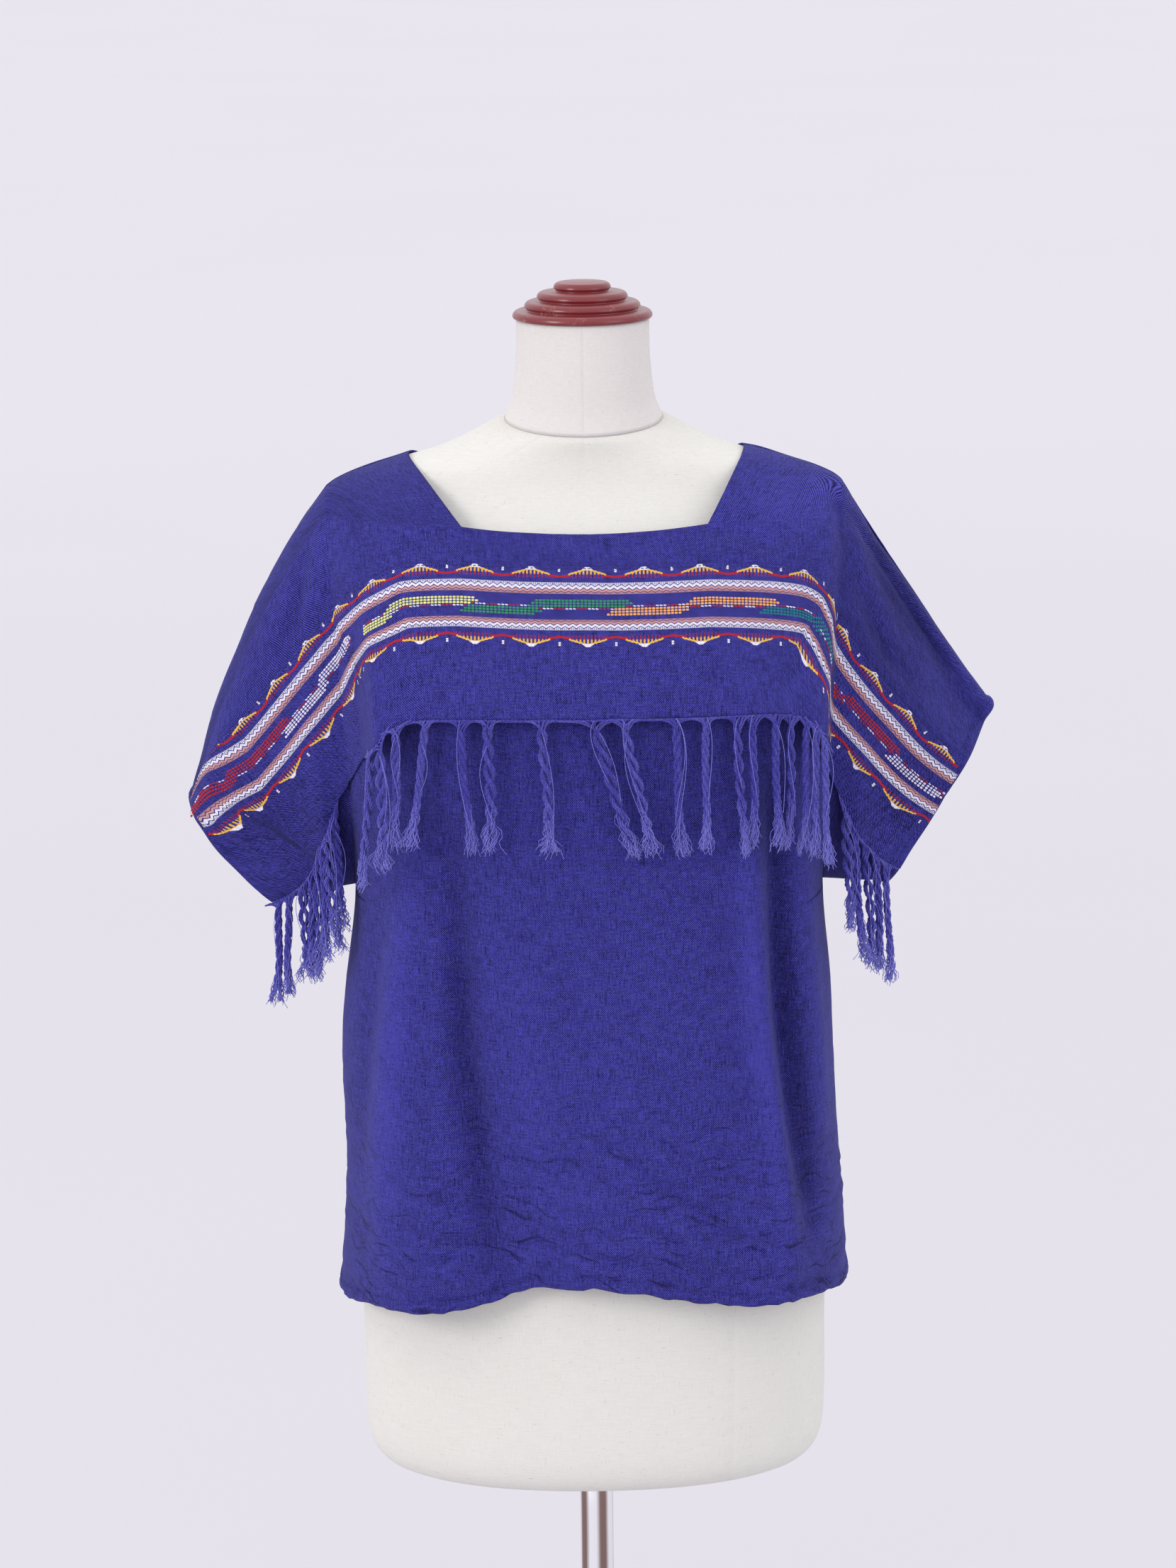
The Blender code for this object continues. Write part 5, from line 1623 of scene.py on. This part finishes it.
@dataclass
class Fringe:
    """The flounce's lower edge: its rolled threads and the locks that are twisted from them."""

    name: str
    flounce: Flounce
    span: tuple[float, float]
    locks: tuple[Lock, ...]
    seed: int
    bundle: float = 0.00205
    thread_radius: float = 0.00074
    root_reach: float = 0.013
    gathered: float = 0.012
    frayed: float = 0.026
    pitch: float = 0.028
    forward: float = 0.003
    steps: int = 36
    sides: int = 5
    fibre_radius: float = 0.00034
    hair_radius: float = 0.00022
    edge_radius: float = 0.00075
    edge_pitch: float = 0.0062
    edge_step: float = 0.0011

    def edge(self) -> tuple[Points, Points, Points]:
        """The strip's lower edge between the span's ends: stations, points and outward directions."""
        inside = (self.flounce.stations >= self.span[0]) & (self.flounce.stations <= self.span[1])
        points = self.flounce.surface.points[inside, -1]
        return self.flounce.stations[inside], points, self.flounce.surface.normals[inside, -1]

    def at(self, station: float) -> tuple[Points, Points, Points]:
        """The edge at one station: its point, the direction along it and the one outwards."""
        stations, points, normals = self.edge()
        i = int(np.clip(np.searchsorted(stations, station), 1, len(stations) - 2))
        along = unit(points[i + 1] - points[i - 1])
        outward = normals[i] * np.array([1, 1, 0])
        return points[i], along, unit(outward)

    def rolled_edge(self) -> tuple[list[Points], list[Points]]:
        """Two fine cords wound round each other along the edge."""
        _, points, normals = self.edge()
        length = lengths_along(points)
        even = np.arange(0, length[-1], self.edge_step)
        centre = read_along(even, length, points)
        outward = read_along(even, length, normals)
        centre[:, 2] -= 0.0011
        centre -= outward * 0.0006
        paths = []
        radii = []
        wobble = lattice_noise(even, even * 0, 0.006, self.seed) * 0.0003
        for phase in (0.0, math.pi):
            angle = even * (2 * np.pi / self.edge_pitch) + phase
            ring = outward * np.cos(angle)[:, None] + DOWNWARDS * np.sin(angle)[:, None]
            paths.append(centre + ring * (0.00055 + wobble)[:, None])
            radii.append(np.full(len(even), self.edge_radius))
        return paths, radii

    def lock(self, lock: Lock, random: np.random.Generator) -> tuple[list, list, list]:
        """The threads of one lock.

        Args:
            lock: The lock.
            random: Source of its small differences.

        Returns:
            Their centrelines, radii, and how pale each one is along its length.
        """
        root, along, outward = self.at(lock.station)
        sideways = unit(np.cross(outward, -DOWNWARDS))
        t = np.linspace(0, 1, self.steps) ** 1.55
        below = t * lock.length
        sway = 0.0014 * np.sin(np.pi * 2 * t + random.uniform(0, 6)) * t
        axis = root + np.outer(below, DOWNWARDS)
        axis[:, 0] += lock.drift * t**1.15 + sway
        axis += np.outer(self.forward * np.sin(np.pi / 2 * t) - 0.0006 * (1 - t), outward)
        join = 1 - (1 - np.clip(below / self.gathered, 0, 1)) ** 2.6
        fray = smooth_step((below - (lock.length - self.frayed)) / self.frayed)
        size = self.bundle * lock.width
        paths = []
        radii = []
        pales = []
        plies, per_ply, ply_share, strand_share = (2, 5, 0.84, 0.5) if lock.paired else (3, 4, 0.74, 0.4)
        count = plies * per_ply
        ply_phase = random.uniform(0, 6.3)
        twist = 1 if random.uniform() < 0.75 else -1
        reach = self.root_reach * lock.reach * random.uniform(0.8, 1.1)
        paleness = random.uniform(-0.08, 0.16)
        tuft = random.uniform(0.001, 0.0034)
        # Each thread winds within its ply, and each ply winds round the others.
        for n in range(count):
            ply, k = n % plies, n // plies
            loose = 1 + 0.3 * np.sin(np.pi * np.clip(t * 1.6 - 0.2, 0, 1)) * (3 - plies)
            ply_turn = ply_phase + 2 * np.pi * ply / plies + twist * 2 * np.pi * below / self.pitch
            ply_reach = size * ply_share * loose
            turn = 2 * np.pi * k / per_ply - twist * 2 * np.pi * below / (self.pitch * 0.55)
            radius = size * strand_share * (1 + 0.9 * fray)
            offset = np.outer(np.cos(ply_turn) * ply_reach + np.cos(turn) * radius, sideways)
            offset += np.outer(np.sin(ply_turn) * ply_reach * 0.8 + np.sin(turn) * radius, outward)
            half = 1 if n % 2 else -1
            offset += np.outer(half * tuft * fray**1.5, sideways)
            bundled = axis + offset
            shift = reach * (2 * (n + random.uniform(-0.35, 0.35)) / (count - 1) - 1)
            start = root + along * shift + outward * random.uniform(-0.0004, 0.0008)
            start = start + DOWNWARDS * 0.0008
            droop = np.outer(below * 0.35, DOWNWARDS) + np.outer(-shift * join * 0.3, along)
            bulge = np.sin(np.pi * np.clip(below / self.gathered, 0, 1)) * random.uniform(0.0, 0.0016)
            path = (start + droop) * (1 - join)[:, None] + bundled * join[:, None]
            path += np.outer(bulge, outward)
            slim = self.thread_radius * (0.88 + 0.12 * join) * (1 - 0.55 * fray)
            paths.append(path)
            radii.append(slim * random.uniform(0.85, 1.12))
            pales.append(0.1 + paleness + 0.8 * fray + random.uniform(-0.1, 0.1))
            # Loose fibres at the thread's end.
            for _ in range(2):
                first = int(self.steps * 0.7)
                fibre = path[first:].copy()
                share = np.linspace(0, 1, len(fibre))
                away = random.normal(0, 0.002, 2) * lock.width
                curl = random.uniform(-0.0009, 0.0009)
                fibre += np.outer(share**1.5 * away[0] + curl * np.sin(6 * share), sideways)
                fibre += np.outer(share**1.5 * away[1] * 0.55 + 0.0006 * share, outward)
                fibre[:, 2] -= share * random.uniform(-0.004, 0.005)
                paths.append(fibre)
                radii.append(np.full(len(fibre), self.fibre_radius) * (1 - 0.35 * share))
                pales.append(0.35 + paleness + 0.6 * share + random.uniform(-0.12, 0.1))
        # One or two stray hairs beside the lock.
        for _ in range(1 + int(random.uniform() < 0.5)):
            first = int(self.steps * random.uniform(0.0, 0.35))
            last = int(self.steps * random.uniform(0.6, 1.0))
            hair = axis[first:last].copy()
            share = np.linspace(0, 1, len(hair))
            bulge = random.choice([-1, 1]) * random.uniform(0.0025, 0.0065)
            hair += np.outer(bulge * np.sin(np.pi * share * random.uniform(0.8, 1.3)), sideways)
            hair += np.outer(size * 1.2 + 0.001 * np.sin(3 * share), outward)
            paths.append(hair)
            radii.append(np.full(len(hair), self.hair_radius))
            pales.append(0.85 + 0 * share)
        return paths, radii, pales

    def build(self, material: Material, node: str) -> Object:
        """Adds the fringe, which stands for one of the solids.

        Args:
            material: Its finish.
            node: The solid's node.

        Returns:
            The new piece.
        """
        random = np.random.default_rng(self.seed)
        paths, radii = self.rolled_edge()
        pales = [np.full(len(path), 0.05) for path in paths]
        for lock in self.locks:
            more_paths, more_radii, more_pales = self.lock(lock, random)
            paths += more_paths
            radii += more_radii
            pales += more_pales
        mesh = tube_mesh(self.name, paths, radii, self.sides)
        add_values(mesh, "pale", np.repeat(np.concatenate(pales), self.sides))
        piece = add_piece(self.name, mesh, material)
        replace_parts(piece, node)
        return piece


@dataclass
class Stitches:
    """Machine stitches along the hem, the cuffs and the flounce's seam."""

    front: Cloth
    back: Cloth
    flounce: Flounce
    pitch: float = 0.0031
    length: float = 0.0021
    radius: float = 0.00036
    stitched_share: float = 0.985

    def run(self, points: Points, normals: Points) -> tuple[list[Points], list[Points]]:
        """One row of stitches.

        Args:
            points: A line on the cloth.
            normals: The cloth's normals along it.

        Returns:
            The centreline and radii of each stitch.
        """
        length = lengths_along(points)
        paths = []
        radii = []
        for start in np.arange(self.pitch / 2, length[-1] - self.pitch, self.pitch):
            where = start + self.length * np.linspace(0, 1, 5)
            place = read_along(where, length, points)
            out = read_along(where, length, normals)
            rise = 0.00016 * np.sin(np.pi * np.linspace(0, 1, 5)) - 0.00006
            paths.append(place + unit(out) * rise[:, None])
            radii.append(self.radius * np.array([0.45, 0.9, 1.0, 0.9, 0.45]))
        return paths, radii

    def hem(self, cloth: Cloth, surface: Surface) -> tuple[Points, Points]:
        """The line of the hem's stitches on the front or back."""
        columns = np.flatnonzero(np.abs(cloth.grid()[0]) < self.stitched_share)
        from_hem = (surface.down[:, -1:] - surface.down)[columns]
        rows = np.argmin(np.abs(from_hem - (cloth.hem_fold - 0.001)), axis=1)
        return self.smoothed(surface.points[columns, rows]), surface.normals[columns, rows]

    def cuff(self, cloth: Cloth, surface: Surface, side: Side) -> tuple[Points, Points]:
        """The line of the stitches round one cuff on the front or back."""
        v = cloth.grid()[1][0]
        rows = np.flatnonzero((v > 0.03) & (v < self.stitched_share))
        across = surface.across[:, rows]
        edge = across[-1] if side == Side.RIGHT else across[0]
        distance = np.abs(np.abs(edge - across) - (cloth.hem_fold - 0.002))
        columns = np.argmin(distance, axis=0)
        return self.smoothed(surface.points[columns, rows]), surface.normals[columns, rows]

    @staticmethod
    def smoothed(points: Points) -> Points:
        """A line with its small steps from one row of the grid to the next evened out."""
        for _ in range(3):
            points[1:-1] = (points[:-2] + 2 * points[1:-1] + points[2:]) / 4
        return points

    def build(self, material: Material) -> Object:
        """Adds every row of stitches as one mesh."""
        panels = [(cloth, cloth.surface()[0]) for cloth in (self.front, self.back)]
        lines = [self.hem(*panel) for panel in panels]
        lines += [self.cuff(*panel, side) for panel in panels for side in Side]
        surface = self.flounce.surface
        row = 1
        lines.append((surface.points[4:-4, row], surface.normals[4:-4, row]))
        paths = []
        radii = []
        for points, normals in lines:
            more_paths, more_radii = self.run(points, normals)
            paths += more_paths
            radii += more_radii
        mesh = tube_mesh("stitches", paths, radii, 5)
        add_values(mesh, "pale", np.zeros(len(mesh.vertices)))
        return add_piece("stitches", mesh, material)


@dataclass
class DressForm:
    """The linen-covered torso and neck, with grooves where the linen's panels are sewn."""

    columns: int = 120
    torso_rings: int = 110
    neck_rings: int = 26
    seam_angles: tuple[float, ...] = (-90, -122, -56, 0, 180, 90, 60, 120)
    neck_seam_angles: tuple[float, ...] = (-90, 90)
    groove: float = 0.00035
    groove_angle: float = 0.75
    rim: float = 0.004

    def angles(self, seams: Points) -> tuple[Points, Points]:
        """Angles of the columns, and how deep the groove is at each one."""
        even = np.linspace(-180, 180, self.columns + 1)[:-1]
        gap = np.abs((even[:, None] - seams + 180) % 360 - 180).min(axis=1)
        even = even[gap > 1.8 * self.groove_angle]
        near = [-self.groove_angle, 0.0, self.groove_angle]
        angles = np.concatenate([even] + [seams + step for step in near])
        depth = np.concatenate([0 * even] + [np.full(len(seams), float(step == 0)) for step in near])
        angles = (angles + 180) % 360 - 180
        order = np.argsort(angles)
        return np.radians(angles[order]), depth[order]

    def loft(self, name: str, sections: Curves, levels: Points, material: Material) -> Object:
        """A closed body through many sections.

        Args:
            name: The piece's name.
            sections: The table of its sections.
            levels: The height of each ring.
            material: Its finish.

        Returns:
            The new piece.
        """
        seams = self.seam_angles if sections is FORM_SECTIONS else self.neck_seam_angles
        angles, grooves = self.angles(np.array(seams, float))
        ring = []
        for z in levels:
            at = {column: sections.at(column, np.array(z)) for column in sections.names[1:]}
            power = 2 / at["squareness"]
            cos, sin = np.cos(angles), np.sin(angles)
            x = at["half_width"] * np.sign(cos) * np.abs(cos) ** power
            y = np.where(sin > 0, at["back"], at["front"]) * np.sign(sin) * np.abs(sin) ** power
            pull = 1 - self.groove * grooves / np.hypot(x, y)
            ring.append(np.stack([x * pull, y * pull, z + at["tilt"] * y], axis=1))
        points = np.concatenate(ring)
        index = np.arange(len(points)).reshape(len(levels), len(angles))
        mesh = new_mesh(name, points.tolist(), ring_faces(index))
        return add_piece(name, mesh, material)

    def build(self, torso: Material, neck: Material) -> None:
        """Adds the torso and the neck."""
        low, high = FORM_SECTIONS.rows[0][0], FORM_SECTIONS.rows[-1][0]
        share = np.linspace(0, 1, self.torso_rings)
        levels = np.concatenate(
            [np.linspace(low, low + 0.04, 16)[:-1], low + 0.04 + (high - low - 0.04) * share**0.8]
        )
        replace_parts(self.loft("torso_linen", FORM_SECTIONS, levels, torso), "form_torso")
        low, high = NECK_SECTIONS.rows[0][0], NECK_SECTIONS.rows[-1][0]
        levels = np.linspace(low, high, self.neck_rings)
        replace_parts(self.loft("neck_cover", NECK_SECTIONS, levels, neck), "form_neck")


@dataclass
class Turned:
    """A body turned about the upright axis."""

    steps: int = 96

    def build(
        self, name: str, profile: list[tuple[float, float]], base: float, material: Material, slot: str
    ) -> Object:
        """Adds a turned piece.

        Args:
            name: The piece's name.
            profile: Radius and height of its outline, from the top of the axis down to the bottom.
            base: Height that the outline's heights start from.
            material: Its finish.
            slot: Name of the material slot that the finish belongs to; not used.

        Returns:
            The new piece.
        """
        edges = [(n, n + 1) for n in range(len(profile) - 1)]
        mesh = new_mesh(name, [(radius, 0, base + height) for radius, height in profile], [], edges)
        piece = add_piece(name, mesh, material)
        screw = piece.modifiers.new("turn", "SCREW")
        screw.axis = "Z"
        screw.steps = self.steps
        screw.render_steps = self.steps
        screw.use_merge_vertices = True
        screw.merge_threshold = 0.00001
        screw.use_smooth_shade = True
        return piece


@dataclass
class NeckCap(Turned):
    """The turned wooden cap: four rounded tiers and a flange."""

    base: float = 1.3903
    tier_radii: tuple[float, ...] = (0.0205, 0.0325, 0.0415, 0.05)
    tier_height: float = 0.0066
    round_points: int = 12

    def outline(self) -> list[tuple[float, float]]:
        """Radius and height of the cap's profile, above the neck's top."""
        top = self.tier_height * len(self.tier_radii)
        profile = [(0.0, top), (0.006, top - 0.0001)]
        inner = 0.0
        for n, radius in enumerate(self.tier_radii):
            tier_top = top - n * self.tier_height
            if inner:
                profile.append((inner - 0.0004, tier_top + 0.0004))
                profile.append((inner, tier_top - 0.1 * self.tier_height))
            bulge = self.tier_height * 0.62
            for k in range(self.round_points):
                angle = math.pi / 2 * (k + 1) / self.round_points
                across = radius - bulge * (1 - math.sin(angle))
                down = tier_top - 0.12 * self.tier_height - bulge * (1 - math.cos(angle))
                profile.append((across, down))
            inner = radius - 0.0012
        profile.append((self.tier_radii[-1], 0.0016))
        profile.append((self.tier_radii[-1] - 0.0005, 0.0005))
        profile.append((self.tier_radii[-1] - 0.0014, 0.0))
        profile.append((0.0, 0.0))
        return profile

    def make(self, material: Material) -> Object:
        """Adds the cap."""
        cap = self.build("cap_wood", self.outline(), self.base, material, "cap_lacquer")
        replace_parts(cap, "neck_cap")
        return cap


@dataclass
class Stand(Turned):
    """The chromed pole and the round foot."""

    pole_radius: float = 0.0125
    foot_radius: float = 0.15
    edge_height: float = 0.008
    crown_height: float = 0.022
    socket_radius: float = 0.022
    form_base: float = 0.535
    gap: float = 0.0003

    def make(self, chrome: Material, enamel: Material) -> None:
        """Adds the pole and the foot."""
        low, high = self.crown_height + self.gap, self.form_base - self.gap
        ease = 0.0006
        outline = [(0.0, high), (self.pole_radius - ease, high), (self.pole_radius, high - ease)]
        outline += [(self.pole_radius, high + (low - high) * n / 12) for n in range(1, 12)]
        outline += [(self.pole_radius, low + ease), (self.pole_radius - ease, low), (0.0, low)]
        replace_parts(self.build("pole_tube", outline, 0.0, chrome, "pole_chrome"), "stand_pole")
        outline = [(0.0, self.crown_height), (self.socket_radius - 0.001, self.crown_height)]
        outline.append((self.socket_radius, self.crown_height - 0.0006))
        for n in range(1, 25):
            t = n / 24
            radius = self.socket_radius + (self.foot_radius - 0.003 - self.socket_radius) * t
            rise = self.crown_height - 0.004 - self.edge_height
            outline.append((radius, self.edge_height + rise * (1 - t) ** 1.6))
        for n in range(1, 6):
            angle = math.pi / 2 * n / 5
            across = self.foot_radius - 0.003 + 0.003 * math.sin(angle)
            outline.append((across, self.edge_height - 0.003 + 0.003 * math.cos(angle)))
        outline += [(self.foot_radius, 0.0006), (self.foot_radius - 0.0006, 0.0), (0.0, 0.0)]
        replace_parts(self.build("foot_plate", outline, 0.0, enamel, "foot_enamel"), "stand_foot")


@dataclass
class Studio:
    """The pale floor, the soft lights and the camera at the photograph's viewing angle."""

    camera_place: tuple[float, float, float] = (0.0, -3.3, 1.805)
    pitch: float = math.radians(12.9)
    roll: float = math.radians(0.68)
    lens: float = 6550 * 36 / 2212
    floor_radius: float = 60.0

    def camera(self) -> None:
        """Adds the camera."""
        ahead = np.array([0, math.cos(self.pitch), -math.sin(self.pitch)])
        above = np.array([0, math.sin(self.pitch), math.cos(self.pitch)])
        beside = np.array([1.0, 0.0, 0.0])
        right = beside * math.cos(self.roll) - above * math.sin(self.roll)
        top = beside * math.sin(self.roll) + above * math.cos(self.roll)
        data = bpy.data.cameras.new("camera")
        data.sensor_width = 36
        data.lens = self.lens
        data.clip_end = 200
        camera = add_object("camera", data)
        camera.matrix_world = axes_at(self.camera_place, right, top, -ahead)
        bpy.context.scene.camera = camera

    def light(self, name: str, place: tuple, size: float, power: float, colour: Colour) -> None:
        """Adds one soft light that looks at the chest.

        Args:
            name: Its name.
            place: Where it stands.
            size: Its width.
            power: Its power in watts.
            colour: Its colour.
        """
        data = bpy.data.lights.new(name, "AREA")
        data.shape = "DISK"
        data.size = size
        data.energy = power
        data.color = colour
        lamp = add_object(name, data)
        back = unit(np.array(place) - np.array([0, 0, 1.0]))
        right = unit(np.cross([0, 0, 1.0], back))
        lamp.matrix_world = axes_at(place, right, np.cross(back, right), back)

    def build(self, paper: Material) -> None:
        """Adds the floor, the lights and the surrounding light."""
        self.camera()
        turn = 2 * np.pi * np.arange(64) / 64
        rim = np.stack([np.cos(turn), np.sin(turn), 0 * turn], axis=1) * self.floor_radius
        mesh = new_mesh("floor", (rim - [0, 0, 0.0005]).tolist(), [list(range(64))])
        mesh.materials.append(paper)
        add_object("floor", mesh)
        self.light("key", (-3.2, -2.7, 2.7), 1.6, 58, (1.0, 0.99, 0.975))
        self.light("fill", (3.2, -2.4, 2.2), 2.6, 20, (0.95, 0.97, 1.0))
        world = bpy.data.worlds.new("surround")
        bpy.context.scene.world = world
        world.use_nodes = True
        nodes = world.node_tree.nodes
        links = world.node_tree.links
        sky = nodes["Background"]
        sky.inputs["Color"].default_value = (*dyed(243, 243, 247), 1)
        direction = nodes.new("ShaderNodeSeparateXYZ")
        links.new(nodes.new("ShaderNodeTexCoord").outputs["Generated"], direction.inputs[0])
        height = nodes.new("ShaderNodeMapRange")
        for socket, amount in (("From Min", 0.02), ("From Max", 0.7), ("To Min", 0.89), ("To Max", 1.4)):
            height.inputs[socket].default_value = amount
        links.new(direction.outputs[2], height.inputs["Value"])
        links.new(height.outputs[0], sky.inputs["Strength"])
        bpy.context.scene.view_settings.view_transform = "Standard"


def main() -> None:
    """Builds the top, the dress form, the stand and the studio."""
    logging.basicConfig(level=logging.INFO, format="%(message)s")
    Studio().build(Paper().make())

    indigo = Twill().make()
    front = Cloth(Face.FRONT)
    back = Cloth(Face.BACK, chest_rows=70, skirt_rows=74, body_columns=116, sleeve_columns=36)
    front_piece = front.build(indigo)
    back_piece = back.build(indigo)
    flounce = Flounce(front)
    flounce_piece = flounce.build(Brocade().make())
    floats = Beads(flounce).build(Cord("float_threads", own_colours=True).make())
    fringe_cord = Cord("fringe_thread").make()
    fringes = [
        Fringe("chest_threads", flounce, (-0.74, 0.92), CHEST_LOCKS, 41).build(fringe_cord, "fringe_chest"),
        Fringe("left_threads", flounce, (-1.97, -1.1), LEFT_LOCKS, 42).build(fringe_cord, "fringe_left"),
        Fringe("right_threads", flounce, (1.13, 1.97), RIGHT_LOCKS, 43).build(fringe_cord, "fringe_right"),
    ]
    sewing = Cord("sewing_thread", Thread.INDIGO.value, Thread.INDIGO_LIGHT.value).make()
    stitches = Stitches(front, back, flounce).build(sewing)

    torso = Linen("form_linen", dyed(222, 220, 214)).make()
    neck = Linen("neck_linen", dyed(222, 217, 214)).make()
    DressForm().build(torso, neck)
    NeckCap().make(Lacquer().make())
    # The pole's dark bands are painted reflections.
    chrome = Plated("pole_chrome", (0.9, 0.9, 0.92), 0.06, painted_reflection_bands=1.0).make()
    enamel = Plated("foot_enamel", (0.55, 0.55, 0.56), 0.32, 0.8).make()
    Stand(steps=64).make(chrome, enamel)


if __name__ == "__main__":
    main()
